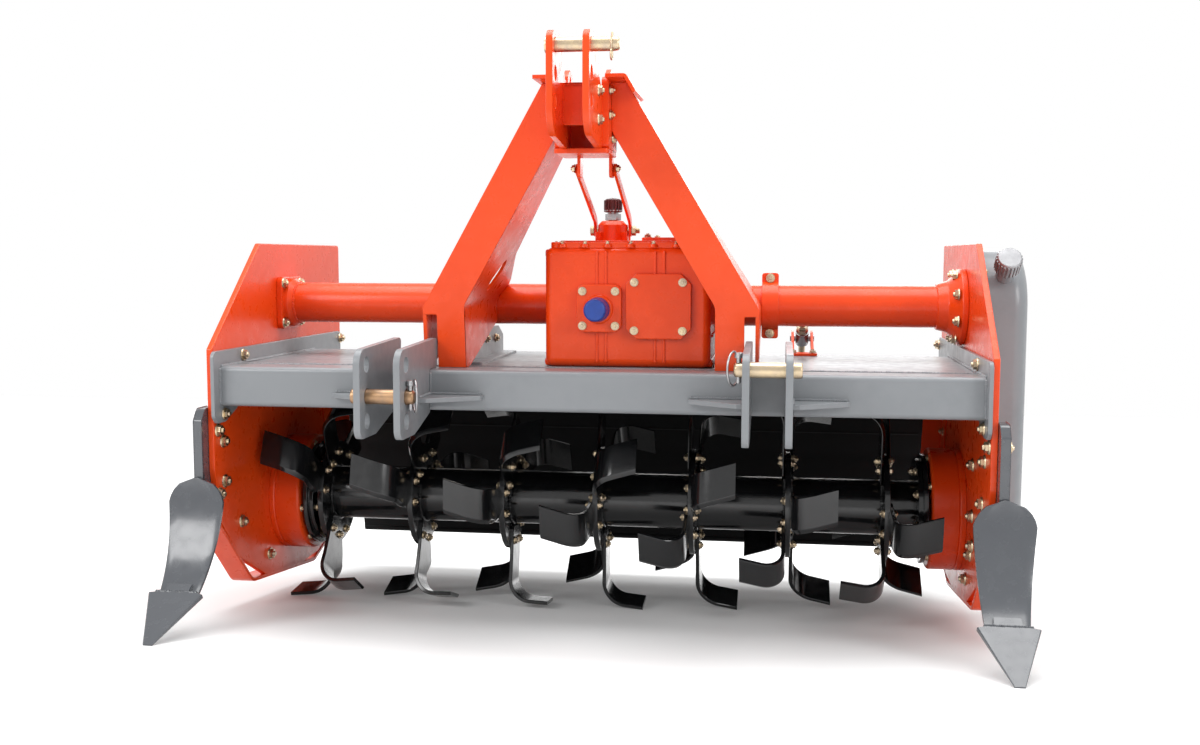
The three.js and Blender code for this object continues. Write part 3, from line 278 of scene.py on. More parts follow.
def closed_up(mesh, step=Matrix.Identity(4)):
    """A curve's mesh with its seams merged, after a step, and its faces pointing out."""
    bm = bmesh.new()
    bm.from_mesh(mesh)
    bpy.data.meshes.remove(mesh)
    bmesh.ops.remove_doubles(bm, verts=bm.verts, dist=0.01)
    bmesh.ops.transform(bm, matrix=step, verts=bm.verts)
    bmesh.ops.recalc_face_normals(bm, faces=bm.faces)
    return mesh_from(bm)


def shown(name, data):
    obj = bpy.data.objects.new(name, data)
    bpy.context.scene.collection.objects.link(obj)
    return obj


def softened(points, radius, closed=True, steps=5):
    """An outline or a path whose corners are arcs. A point may carry its own radius."""
    made = []
    count = len(points)
    for i, point in enumerate(points):
        corner = Vector(point[:2])
        size = point[2] if len(point) > 2 else radius
        if size <= 0 or (not closed and i in (0, count - 1)):
            made.append(corner)
            continue
        back = Vector(points[i - 1][:2]) - corner
        ahead = Vector(points[(i + 1) % count][:2]) - corner
        half = back.angle(ahead) / 2
        reach = min(size / math.tan(half), back.length * 0.49, ahead.length * 0.49)
        size = reach * math.tan(half)
        middle = corner + (back.normalized() + ahead.normalized()).normalized() * (size / math.sin(half))
        start = corner + back.normalized() * reach - middle
        sweep = start.angle_signed(corner + ahead.normalized() * reach - middle)
        for k in range(steps + 1):
            turn = Matrix.Rotation(-sweep * k / steps, 2)
            made.append(middle + turn @ start)
    return made


def polar(radius, angle, u=0.0, v=0.0):
    return u + radius * math.cos(angle), v + radius * math.sin(angle)


def arc_steps(start, end, count):
    """Angles in radians from start to end, given in degrees."""
    return [math.radians(start + (end - start) * k / count) for k in range(count + 1)]


def circle(u, v, radius, steps=28):
    return [Vector(polar(radius, 2 * math.pi * k / steps, u, v)) for k in range(steps)]


def slotted(u0, u1, v0, v1, radius, steps=5):
    return softened([(u0, v0), (u1, v0), (u1, v1), (u0, v1)], radius, steps=steps)


AXES = {
    "x": Matrix(((0, 0, 1, 0), (1, 0, 0, 0), (0, 1, 0, 0), (0, 0, 0, 1))),
    "y": Matrix(((1, 0, 0, 0), (0, 0, 1, 0), (0, 1, 0, 0), (0, 0, 0, 1))),
    "z": Matrix.Identity(4),
}


def plate(outline, low, high, across="x", holes=(), edge=1.0):
    """A plate with eased edges. Its outline is in (y, z), (x, z) or (x, y), across the named axis."""
    curve = bpy.data.curves.new("outline", "CURVE")
    curve.dimensions = "2D"
    curve.fill_mode = "BOTH"
    edge = min(edge, (high - low) / 2.2)
    curve.extrude = (high - low) / 2 - edge
    curve.bevel_depth = edge
    curve.bevel_resolution = 1
    curve.offset = -edge
    for loop in (outline, *holes):
        spline = curve.splines.new("POLY")
        spline.points.add(len(loop) - 1)
        for target, point in zip(spline.points, loop):
            target.co = (point[0], point[1], 0, 1)
        spline.use_cyclic_u = True
    return closed_up(evaluated(shown("outline", curve)), AXES[across] @ shift(z=(low + high) / 2))


def thick_line(line, thickness, radius=0.0, steps=5):
    """The section of a bent sheet: its line, and the same line one thickness to its right."""
    upper = softened(line, radius, closed=False, steps=steps)
    lower = []
    for i, point in enumerate(upper):
        before = (point - upper[i - 1]).normalized() if i else None
        after = (upper[i + 1] - point).normalized() if i + 1 < len(upper) else None
        before, after = before or after, after or before
        normal = Vector((before.y + after.y, -before.x - after.x)).normalized()
        lean = max(normal.dot(Vector((before.y, -before.x))), 0.3)
        lower.append(point + normal * thickness / lean)
    return upper + lower[::-1]


def lathe(profile, start, axis, segments=48):
    """A turned piece. Its profile is (distance along, radius), from end to end or closed."""
    bm = bmesh.new()
    rings = []
    for along, radius in profile:
        if radius <= 0:
            rings.append([bm.verts.new((0, 0, along))])
            continue
        angles = [2 * math.pi * k / segments for k in range(segments)]
        rings.append([bm.verts.new((*polar(radius, a), along)) for a in angles])
    closed = profile[0][1] > 0 and profile[-1][1] > 0
    pairs = list(zip(rings, rings[1:])) + ([(rings[-1], rings[0])] if closed else [])
    for lower, upper in pairs:
        for k in range(segments):
            n = (k + 1) % segments
            loop = [ring[i % len(ring)] for ring, i in ((lower, k), (lower, n), (upper, n), (upper, k))]
            unique = list(dict.fromkeys(loop))
            if len(unique) > 2:
                bm.faces.new(unique)
    bmesh.ops.recalc_face_normals(bm, faces=bm.faces)
    bmesh.ops.transform(bm, matrix=shift(*start) @ towards(axis), verts=bm.verts)
    return mesh_from(bm)


def eased(profile, ease=1.0):
    """A turned profile with its square corners broken."""
    made = []
    count = len(profile)
    closed = profile[0][1] > 0 and profile[-1][1] > 0
    for i, point in enumerate(profile):
        corner = Vector(point)
        if corner.y <= 0 or (not closed and i in (0, count - 1)):
            made.append(tuple(corner))
            continue
        back = Vector(profile[i - 1]) - corner
        ahead = Vector(profile[(i + 1) % count]) - corner
        if min(back.length, ahead.length) < 1e-6 or abs(back.angle(ahead) - math.pi) < 0.3:
            made.append(tuple(corner))
            continue
        reach = min(ease, back.length * 0.4, ahead.length * 0.4)
        made.append(tuple(corner + back.normalized() * reach))
        made.append(tuple(corner + (back.normalized() + ahead.normalized()) * reach * 0.3))
        made.append(tuple(corner + ahead.normalized() * reach))
    return made


def rod(radius, start, end, ease=1.0, segments=32):
    line = Vector(end) - Vector(start)
    length = line.length
    profile = eased([(0, 0), (0, radius), (length, radius), (length, 0)], ease)
    return lathe(profile, start, line, segments)


def sleeve(inner, outer, start, end, ease=1.0, segments=40):
    line = Vector(end) - Vector(start)
    length = line.length
    profile = eased([(0, inner), (0, outer), (length, outer), (length, inner)], ease)
    return lathe(profile, start, line, segments)


def wire(path, radius, closed=False, sides=4):
    """A round wire along a path of points, with flat ends."""
    curve = bpy.data.curves.new("wire", "CURVE")
    curve.dimensions = "3D"
    curve.bevel_depth = radius
    curve.bevel_resolution = sides
    curve.use_fill_caps = True
    spline = curve.splines.new("POLY")
    spline.points.add(len(path) - 1)
    for target, point in zip(spline.points, path):
        target.co = (*point, 1)
    spline.use_cyclic_u = closed
    return closed_up(evaluated(shown("wire", curve)))


def piece(name, meshes, material, body="frame", stands_for=()):
    """Joins meshes into one finished piece at its place, with clean shading on its flats."""
    mesh = joined(*meshes)
    mesh.transform(MACHINE)
    mesh.materials.clear()
    mesh.materials.append(material)
    mesh.shade_smooth()
    mesh.set_sharp_from_angle(angle=math.radians(38))
    obj = shown(name, mesh)
    flats = obj.modifiers.new("flats", "WEIGHTED_NORMAL")
    flats.keep_sharp = True
    obj = shown(name, evaluated(obj))
    obj.name = name
    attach(obj, body)
    if stands_for:
        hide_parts(*stands_for)
    return obj


def stand_in(node, meshes, material, body="frame"):
    """The finished piece that takes a CAD node's place."""
    piece(f"{node}_shown", meshes, material, body, (node,))


# ---- What repeats: bolts and weld beads -----------------------------------------------------


def add_socket(tree, name, kind, value=None):
    socket = tree.interface.new_socket(name, in_out="INPUT", socket_type=kind)
    if value is not None:
        socket.default_value = value


def new_tree(name):
    tree = bpy.data.node_groups.new(name, "GeometryNodeTree")
    tree.interface.new_socket("Geometry", in_out="OUTPUT", socket_type="NodeSocketGeometry")
    add_socket(tree, "Geometry", "NodeSocketGeometry")
    return tree


def named_value(tree, name, kind):
    reader = node_on(tree, "GeometryNodeInputNamedAttribute", {"Name": name}, data_type=kind)
    return reader.outputs["Attribute"]


def cone_on(tree, corners, low, high, depth, out):
    """A cone or prism on z, raised by a height. Its sizes are numbers or sockets."""
    sizes = {"Vertices": corners, "Radius Bottom": low, "Radius Top": high, "Depth": depth}
    cone = node_on(tree, "GeometryNodeMeshCone", sizes)
    height = node_on(tree, "ShaderNodeCombineXYZ", {"Z": out})
    inputs = {"Geometry": cone.outputs["Mesh"], "Translation": height.outputs[0]}
    return node_on(tree, "GeometryNodeTransform", inputs).outputs["Geometry"]


def random_on(tree, kind, seed, low, high):
    """A random number or vector for each point. Its sockets' places depend on its kind."""
    first = 0 if kind == "FLOAT_VECTOR" else 2
    inputs = {first: low, first + 1: high, "Seed": seed}
    return node_on(tree, "FunctionNodeRandomValue", inputs, data_type=kind).outputs[first // 2]


SIXTH_TURN = 1.047
BOLT_SIZES = {
    "Head Radius": 8.6,
    "Head Height": 6.2,
    "Washer Radius": 11.2,
    "Stud Radius": 4.6,
    "Stud Length": 3.0,
}


def bolt_tree():
    """Hexagon bolts on points: each point's aim is the way its head faces, its size its scale."""
    tree = new_tree("hexagon_bolts")
    for name, size in BOLT_SIZES.items():
        add_socket(tree, name, "NodeSocketFloat", size)
    add_socket(tree, "Finish", "NodeSocketMaterial")
    given = tree.nodes.new("NodeGroupInput")
    radius, tall, washer, stud, stud_out = (given.outputs[name] for name in BOLT_SIZES)

    def times(a, b):
        return math_on(tree, "MULTIPLY", a, b)

    # A washer, the hexagon, its rounded crown and the end of the stud, from the seat outwards:
    # corners, lower radius, upper radius, depth and how far out each stands.
    cones = (
        (20, washer, times(washer, 0.93), 2.0, 0.0),
        (6, radius, radius, times(tall, 0.86), 1.8),
        (18, times(radius, 0.93), times(radius, 0.8), times(tall, 0.12), times(tall, 1.1)),
        (14, stud, times(stud, 0.8), stud_out, times(tall, 1.2)),
    )
    join = tree.nodes.new("GeometryNodeJoinGeometry")
    for cone in cones:
        tree.links.new(cone_on(tree, *cone), join.inputs["Geometry"])
    aim = {"Vector": named_value(tree, "aim", "FLOAT_VECTOR")}
    align = node_on(tree, "FunctionNodeAlignRotationToVector", aim, axis="Z")
    twist = node_on(tree, "ShaderNodeCombineXYZ", {"Z": random_on(tree, "FLOAT", 7, 0.0, SIXTH_TURN)})
    spin = node_on(tree, "FunctionNodeEulerToRotation", {0: twist.outputs[0]})
    turns = {"Rotation": align.outputs[0], "Rotate By": spin.outputs[0]}
    turn = node_on(tree, "FunctionNodeRotateRotation", turns, rotation_space="LOCAL")
    scale = named_value(tree, "size", "FLOAT")
    repeated(tree, given.outputs["Geometry"], join.outputs[0], turn.outputs[0], scale, given)
    return tree


def repeated(tree, points, instance, rotation, scale, given):
    """The tree's output: an instance at each point as plain geometry, in the given finish."""
    inputs = {"Points": points, "Instance": instance, "Rotation": rotation, "Scale": scale}
    copies = node_on(tree, "GeometryNodeInstanceOnPoints", inputs)
    realize = node_on(tree, "GeometryNodeRealizeInstances", {0: copies.outputs["Instances"]})
    inputs = {"Geometry": realize.outputs[0], "Material": given.outputs["Finish"]}
    surface = node_on(tree, "GeometryNodeSetMaterial", inputs)
    node_on(tree, "NodeGroupOutput", {0: surface.outputs[0]})


def weld_tree():
    """A weld bead along the edges of a mesh: overlapping ripples, each a flattened ball."""
    tree = new_tree("weld_bead")
    add_socket(tree, "Bead Width", "NodeSocketFloat", 7.0)
    add_socket(tree, "Ripple Pitch", "NodeSocketFloat", 3.2)
    add_socket(tree, "Finish", "NodeSocketMaterial")
    given = tree.nodes.new("NodeGroupInput")
    curve = node_on(tree, "GeometryNodeMeshToCurve", {"Mesh": given.outputs["Geometry"]})
    inputs = {"Curve": curve.outputs["Curve"], "Length": given.outputs["Ripple Pitch"]}
    points = node_on(tree, "GeometryNodeCurveToPoints", inputs, mode="LENGTH").outputs
    ball = node_on(tree, "GeometryNodeMeshUVSphere", {"Segments": 8, "Rings": 5, "Radius": 0.5})
    scale = random_on(tree, "FLOAT_VECTOR", 3, (0.85, 0.85, 0.7), (1.15, 1.15, 0.85))
    inputs = {0: scale, "Scale": given.outputs["Bead Width"]}
    size = node_on(tree, "ShaderNodeVectorMath", inputs, operation="SCALE").outputs[0]
    repeated(tree, points["Points"], ball.outputs["Mesh"], points["Rotation"], size, given)
    return tree


def grown(tree, mesh, **inputs):
    """The plain mesh that a Geometry Nodes tree makes of a mesh."""
    obj = shown("seed", mesh)
    growth = obj.modifiers.new("growth", "NODES")
    growth.node_group = tree
    sockets = {item.name: item.identifier for item in tree.interface.items_tree if item.in_out == "INPUT"}
    for name, value in inputs.items():
        growth[sockets[name.replace("_", " ")]] = value
    return evaluated(obj)


BOLTS = bolt_tree()
WELDS = weld_tree()
bolt_places = {}
weld_paths = {}


def bolt(group, where, aim, size=1.0):
    """Notes one bolt head for a group. Its aim is the way the head looks."""
    bolt_places.setdefault(group, []).append((Vector(where), Vector(aim).normalized(), size))


def weld(group, path):
    weld_paths.setdefault(group, []).append([Vector(point) for point in path])


def make_bolts(group, material, body="frame", **sizes):
    places = bolt_places.pop(group)
    mesh = bpy.data.meshes.new("places")
    mesh.from_pydata([where for where, _, _ in places], [], [])
    aims = mesh.attributes.new("aim", "FLOAT_VECTOR", "POINT")
    aims.data.foreach_set("vector", [value for _, aim, _ in places for value in aim])
    scales = mesh.attributes.new("size", "FLOAT", "POINT")
    scales.data.foreach_set("value", [size for _, _, size in places])
    piece(group, [grown(BOLTS, mesh, Finish=material, **sizes)], material, body)


def make_welds(group, material, body="frame", **sizes):
    points, edges = [], []
    for path in weld_paths.pop(group):
        first = len(points)
        points.extend(path)
        edges.extend((first + k, first + k + 1) for k in range(len(path) - 1))
    mesh = bpy.data.meshes.new("seams")
    mesh.from_pydata(points, edges, [])
    piece(group, [grown(WELDS, mesh, Finish=material, **sizes)], material, body)


# ---- Side plates, end plates and skids ------------------------------------------------------

PLATE_OUTLINE = [
    (PLATE_FRONT, 354, 6),
    (PLATE_FRONT, 112, 30),
    (-372, 4, 40),
    (-278, -95, 30),
    (-150, -163, 40),
    (60, -187, 60),
    (160, -182, 20),
    (249, -154, 10),
    (PLATE_BACK, -100, 8),
    (PLATE_BACK, PLATE_TOP, 10),
    (-144, PLATE_TOP, 10),
]
SKID_LINE = [(-368, -2), (-219, -153, 40), (137, -194, 40), (250, -157)]
SKID_THICKNESS = 8.0


def both_sides(name, make, material):
    """A piece on the right and its mirror image on the left, each in its CAD node's stead."""
    for side, sign in SIDES:
        mesh = make()
        if sign < 0:
            mesh = placed(mesh, mirror())
        stand_in(f"{name}_{side}", [mesh], material)


def side_plate():
    outline = softened(PLATE_OUTLINE, 6)
    return plate(outline, HALF_INSIDE, PLATE_OUTER, "x", edge=1.6)


def skid():
    section = thick_line(SKID_LINE, SKID_THICKNESS, 30)
    return plate(section, HALF_INSIDE, SKID_OUTER, "x", edge=1.4)


def end_plate():
    (x0, y0, z0), (x1, y1, z1) = END_PLATE
    outline = [
        (y0, BEAM_LOW.z - 20, 14),
        (y0 + 14, BEAM_LOW.z - 34, 14),
        (y0 + 50, BEAM_LOW.z - 34, 16),
        (y0 + 150, BEAM_LOW.z + 6, 10),
        (PLATE_BACK - 40, BEAM_LOW.z + 6, 8),
        (y1, DECK_TOP - 60, 8),
        (y1, z1, 14),
        (y0, z1, 14),
    ]
    return plate(softened(outline, 8), x0, x1, "x", edge=1.2)


END_PLATE_BOLTS = ((-262, 334), (318, 332), (-357, 222))


def sides():
    both_sides("side_plate", side_plate, ORANGE)
    both_sides("skid", skid, ORANGE)
    both_sides("end_plate", end_plate, GREY)
    for _, sign in SIDES:
        x = sign * (END_PLATE[0].x - 0.5)
        out = (sign, 0, 0)
        inward = (-sign, 0, 0)
        # The bolts that hold each end plate to its side plate, and their nuts outside.
        for y, z in END_PLATE_BOLTS:
            bolt("end_plate_bolts", (x, y, z), inward, 1.15)
            bolt("end_plate_nuts", (sign * (PLATE_OUTER + 0.4), y, z), out, 0.95)
        seam = [(x, BEAM_LOW.y + 8, BEAM_HIGH.z), (x, BEAM_HIGH.y, BEAM_HIGH.z), (x, 140, DECK_TOP)]
        weld("frame_welds", seam)
        front = [(x, BEAM_LOW.y - 1, BEAM_HIGH.z - 6), (x, BEAM_LOW.y - 1, BEAM_LOW.z + 6)]
        weld("frame_welds", front)


# ---- Beam and hood --------------------------------------------------------------------------

BEAM_CORNER = 10.0
BEAM_WALL = 6.0
DECK_BEND = 150.0
DECK_THICKNESS = 4.0
DECK_END = (HINGE.y - 20, HINGE.z + 12)
# The drop and thickness of the thin black sheet of painted shade under the deck.
SHADE_SHEET_DROP = DECK_THICKNESS + 1
SHADE_SHEET_THICKNESS = 0.8
RAIL_FRONT, RAIL_BACK, RAIL_TOP = -238.0, 108.0, 383.0
RAIL_X, RAIL_THICKNESS = 270.0, 6.0
RAIL_FOOT = 238.0
RAIL_BOLTS = ((-215, 366), (-160, 360), (-60, 360), (30, 356))
HINGE_BORE = 7.2
HINGE_OUTER = 12.0
KNUCKLE_MIDDLES = (-620, -210, 210, 620)
KNUCKLE_WIDTH = 60.0
KNUCKLE_GAP = 5.0


def knuckle_spans(of_deck):
    """The deck's knuckles stand to the left of the board's, a running gap apart."""
    spans = []
    for middle in KNUCKLE_MIDDLES:
        start = middle - KNUCKLE_WIDTH - KNUCKLE_GAP / 2
        if not of_deck:
            start += KNUCKLE_WIDTH + KNUCKLE_GAP
        spans.append((start, start + KNUCKLE_WIDTH))
    return spans


def knuckle(x0, x1, line, thickness):
    ring = sleeve(HINGE_BORE, HINGE_OUTER, (x0, HINGE.y, HINGE.z), (x1, HINGE.y, HINGE.z), 0.8)
    leaf = plate(thick_line(line, thickness, 6), x0, x1, "x", edge=0.6)
    return joined(ring, leaf)


def beam():
    (x0, y0, z0), (x1, y1, z1) = BEAM_LOW, BEAM_HIGH
    outer = slotted(y0, y1, z0, z1, BEAM_CORNER, 6)
    wall = BEAM_WALL
    inner = slotted(y0 + wall, y1 - wall, z0 + wall, z1 - wall, BEAM_CORNER - wall + 1)
    stand_in("front_beam", [plate(outer, x0, x1, "x", [inner], 0.8)], GREY)


def deck():
    line = [(BEAM_HIGH.y + GAP, DECK_TOP), (DECK_BEND, DECK_TOP, 24), DECK_END]
    parts = [plate(thick_line(line, DECK_THICKNESS, 20, 8), -BEAM_END, BEAM_END, "x", edge=0.9)]
    leaf = [(DECK_END[0] - 24, DECK_END[1] + 17), (DECK_END[0] + 12, DECK_END[1] - 6)]
    parts += [knuckle(x0, x1, leaf, 5) for x0, x1 in knuckle_spans(True)]
    for _, sign in SIDES:
        x0, x1 = sorted((sign * RAIL_X, sign * (RAIL_X + RAIL_THICKNESS)))
        outline = [
            (RAIL_FRONT, DECK_TOP - 1, 0),
            (RAIL_BACK, DECK_TOP - 1, 0),
            (RAIL_BACK, 360, 10),
            (60, RAIL_TOP, 14),
            (RAIL_FRONT, RAIL_TOP, 14),
        ]
        parts.append(plate(softened(outline, 0), x0, x1, "x", edge=1.0))
        foot = slotted(*sorted((sign * (RAIL_X + 2), sign * RAIL_FOOT)), RAIL_FRONT, RAIL_BACK, 6)
        parts.append(plate(foot, DECK_TOP - 0.5, DECK_TOP + 5.5, "z", edge=1.0))
        seam_x = sign * (RAIL_X + RAIL_THICKNESS + 2)
        weld("frame_welds", [(seam_x, y, DECK_TOP + 2) for y in (RAIL_FRONT + 2, RAIL_BACK - 2)])
        for y, z in RAIL_BOLTS:
            bolt("rail_bolts", (sign * (RAIL_X - 0.5), y, z), (-sign, 0, 0), 0.9)
    stand_in("hood_deck", parts, GREY)
    # A thin matt black sheet just under the deck: painted shade on the hood's underside.
    below = [(y, z - SHADE_SHEET_DROP, *radius) for y, z, *radius in line]
    shade_sheet = plate(thick_line(below, SHADE_SHEET_THICKNESS, 20, 8), 2 - BEAM_END, BEAM_END - 2, "x", edge=0.2)
    piece("hood_shade_sheet", [shade_sheet], MATT)
    weld("frame_welds", [(x, BEAM_HIGH.y + 2, DECK_TOP + 0.5) for x in (3 - BEAM_END, BEAM_END - 3)])


# ---- Trailing board -------------------------------------------------------------------------

BOARD_HALF = span("trailing_board")[1].x
LIP = (470.0, -190.0)
BOARD_LINE = [
    (HINGE.y + 17, HINGE.z - 12),
    (HINGE.y + 30, HINGE.z - 44),
    (HINGE.y + 88, HINGE.z - 160),
    (HINGE.y + 138, HINGE.z - 290),
    LIP,
]
BOARD_THICKNESS = 4.0
EYE = (HINGE.y + 182, HINGE.z - 234)
EYE_PIN = 6.0
EYE_ROOM = 4.0


def trailing_board():
    skin = plate(thick_line(BOARD_LINE, BOARD_THICKNESS, 220, 8), -BOARD_HALF, BOARD_HALF, "x", edge=0.9)
    parts = [skin, rod(9, (-BOARD_HALF, LIP[0] + 2, LIP[1] + 2), (BOARD_HALF, LIP[0] + 2, LIP[1] + 2), 2)]
    tab = [(HINGE.y + 13, HINGE.z + 3), (HINGE.y + 19, HINGE.z - 11), (HINGE.y + 26, HINGE.z - 30)]
    parts += [knuckle(x0, x1, tab, 4.5) for x0, x1 in knuckle_spans(False)]
    # Two pressed stiffening ribs run the length of the board, and a rib stands at each ear.
    for y, z in ((HINGE.y + 60, HINGE.z - 101), (HINGE.y + 122, HINGE.z - 246)):
        line = [(-BOARD_HALF + 30, y, z), (BOARD_HALF - 30, y, z)]
        parts.append(wire(line, 6.5))
    for _, sign in SIDES:
        for face in (-1, 1):
            x = sign * ROD_X + face * 24
            ear = [
                (HINGE.y + 80, HINGE.z - 148, 0),
                (HINGE.y + 120, HINGE.z - 250, 0),
                (EYE[0] + 2, EYE[1] - 16, 12),
                (EYE[0] + 15, EYE[1] - 4, 12),
                (EYE[0] + 12, EYE[1] + 12, 12),
            ]
            parts.append(plate(softened(ear, 6), x - 3, x + 3, "x", edge=0.8))
            foot = ((HINGE.y + 84, HINGE.z - 150), (HINGE.y + 124, HINGE.z - 250))
            weld("board_welds", [(x + 4, y, z) for y, z in foot])
    stand_in("trailing_board", parts, MATT, "trailing_board")
    pins = []
    for _, sign in SIDES:
        x = sign * ROD_X
        pins.append(rod(EYE_PIN, (x - 33, *EYE), (x + 34, *EYE)))
        pins.append(rod(10, (x - 33, *EYE), (x - 28, *EYE)))
        pins.append(wire([(x + 31, *polar(9, a, *EYE)) for a in arc_steps(-60, 230, 16)], 1.3))
    piece("board_pins", pins, ZINC, "trailing_board")
    make_welds("board_welds", BLACK, "trailing_board", Bead_Width=6.0, Ripple_Pitch=2.8)
    ends = BEAM_END - 40
    hinge_rod = rod(6.4, (-ends, HINGE.y, HINGE.z), (ends, HINGE.y, HINGE.z), 1.5)
    stand_in("board_hinge_rod", [hinge_rod], ZINC)


# ---- Support rods ---------------------------------------------------------------------------

ROD_RADIUS = 8.0
EYE_POINT = Vector((0, *EYE))
TRUNNION_POINT = Vector((0, TRUNNION.y, TRUNNION.z))
ROD_SPAN = (TRUNNION_POINT - EYE_POINT).length
SPRING_FROM = 46.0
SPRING_LENGTH = 119.0
SPRING_WIRE = 2.4


def on_rod(x, distance):
    return EYE_POINT + Vector((x, 0, 0)) + ROD_LINE * distance


def spring(x):
    """A coil spring round a support rod, its end turns closed up."""
    turns = 13.0
    side = Vector((1, 0, 0))
    up = ROD_LINE.cross(side)
    radius = ROD_RADIUS + 2.2 + SPRING_WIRE
    path = []
    steps = int(turns * 18)
    for k in range(steps + 1):
        share = k / steps
        angle = 2 * math.pi * turns * share
        ease = share - math.sin(2 * math.pi * share) / (2 * math.pi) * 0.35
        height = SPRING_FROM + SPRING_WIRE + (SPRING_LENGTH - 2 * SPRING_WIRE) * ease
        path.append(on_rod(x, height) + radius * (math.cos(angle) * side + math.sin(angle) * up))
    return wire(path, SPRING_WIRE, sides=3)


def thread(radius, start, axis, length, pitch=2.6):
    """A threaded stretch of rod, as a turned saw-tooth."""
    profile = [(0, 0), (0, radius - 1.1)]
    count = int(length / pitch)
    for k in range(count):
        profile += [(k * pitch + pitch * 0.5, radius), (k * pitch + pitch, radius - 1.1)]
    profile += [(count * pitch + 0.5, 0)]
    return lathe(profile, start, axis, 20)


def hexagon_nut(where, axis, across, height):
    outline = circle(0, 0, across / math.sqrt(3), 6)
    block = plate(outline, 0, height, "z", edge=1.0)
    return placed(block, towards(axis), shift(*where))


def support_rods():
    spring_end = SPRING_FROM + SPRING_LENGTH
    for side, sign in SIDES:
        x = sign * ROD_X
        eye_inner = EYE_PIN + EYE_ROOM
        parts = [
            sleeve(eye_inner, eye_inner + 6, (x - 9, *EYE), (x + 9, *EYE), 1.0, 48),
            rod(ROD_RADIUS, on_rod(x, eye_inner + 3), on_rod(x, ROD_SPAN + 22), 1.0),
            thread(ROD_RADIUS, on_rod(x, ROD_SPAN + 22), ROD_LINE, 50),
            rod(16, on_rod(x, 40), on_rod(x, 46), 1.2, 40),
            rod(15, on_rod(x, spring_end), on_rod(x, spring_end + 3), 0.8, 40),
            hexagon_nut(on_rod(x, ROD_SPAN + 17), ROD_LINE, 24, 11),
            hexagon_nut(on_rod(x, ROD_SPAN + 30), ROD_LINE, 24, 9),
        ]
        body = f"support_rod_{side}"
        stand_in(f"support_rod_{side}", parts, ZINC, body)
        piece(f"support_spring_{side}", [spring(x)], STEEL, body)
        block = [
            sleeve(ROD_RADIUS + GAP, 15, on_rod(x, ROD_SPAN - 16), on_rod(x, ROD_SPAN + 16), 1.0),
            rod(9, (x - 28, TRUNNION.y, TRUNNION.z), (x - 13, TRUNNION.y, TRUNNION.z), 1.0),
            rod(9, (x + 13, TRUNNION.y, TRUNNION.z), (x + 28, TRUNNION.y, TRUNNION.z), 1.0),
        ]
        stand_in(f"trunnion_{side}", block, STEEL, f"trunnion_{side}")
        bracket = []
        for face in (-1, 1):
            at = x + face * 22
            outline = [
                (DECK_BEND - 20, DECK_TOP + GAP, 2),
                (DECK_BEND + 4, DECK_TOP + GAP, 4),
                (TRUNNION.y + 14, TRUNNION.z - 14, 10),
                (TRUNNION.y + 17, TRUNNION.z + 6, 12),
                (TRUNNION.y + 4, TRUNNION.z + 18, 12),
                (TRUNNION.y - 16, TRUNNION.z + 14, 12),
                (DECK_BEND - 20, DECK_TOP + 12, 6),
            ]
            bore = circle(TRUNNION.y, TRUNNION.z, 9.4, 32)
            bracket.append(plate(softened(outline, 6), at - 3, at + 3, "x", [bore], 0.8))
        base = slotted(x - 32, x + 32, DECK_BEND - 46, DECK_BEND - 4, 6)
        bracket.append(plate(base, DECK_TOP + GAP, DECK_TOP + 6, "z", edge=1.0))
        stand_in(f"rod_bracket_{side}", bracket, ORANGE)
        for offset in (-22, 22):
            bolt("bracket_bolts", (x + offset, DECK_BEND - 36, DECK_TOP + 7), (0, 0, 1), 0.8)


# ---- Axle tubes -----------------------------------------------------------------------------

TUBE_FLANGE = 12.0


def flange_bolts(group, x, aim, radius, count, first=0.0, size=1.0):
    """Bolts round an axle tube's flange."""
    for angle in arc_steps(first, first + 360, count)[:-1]:
        bolt(group, (x, *polar(radius, angle, v=TUBE_Z)), (aim, 0, 0), size)


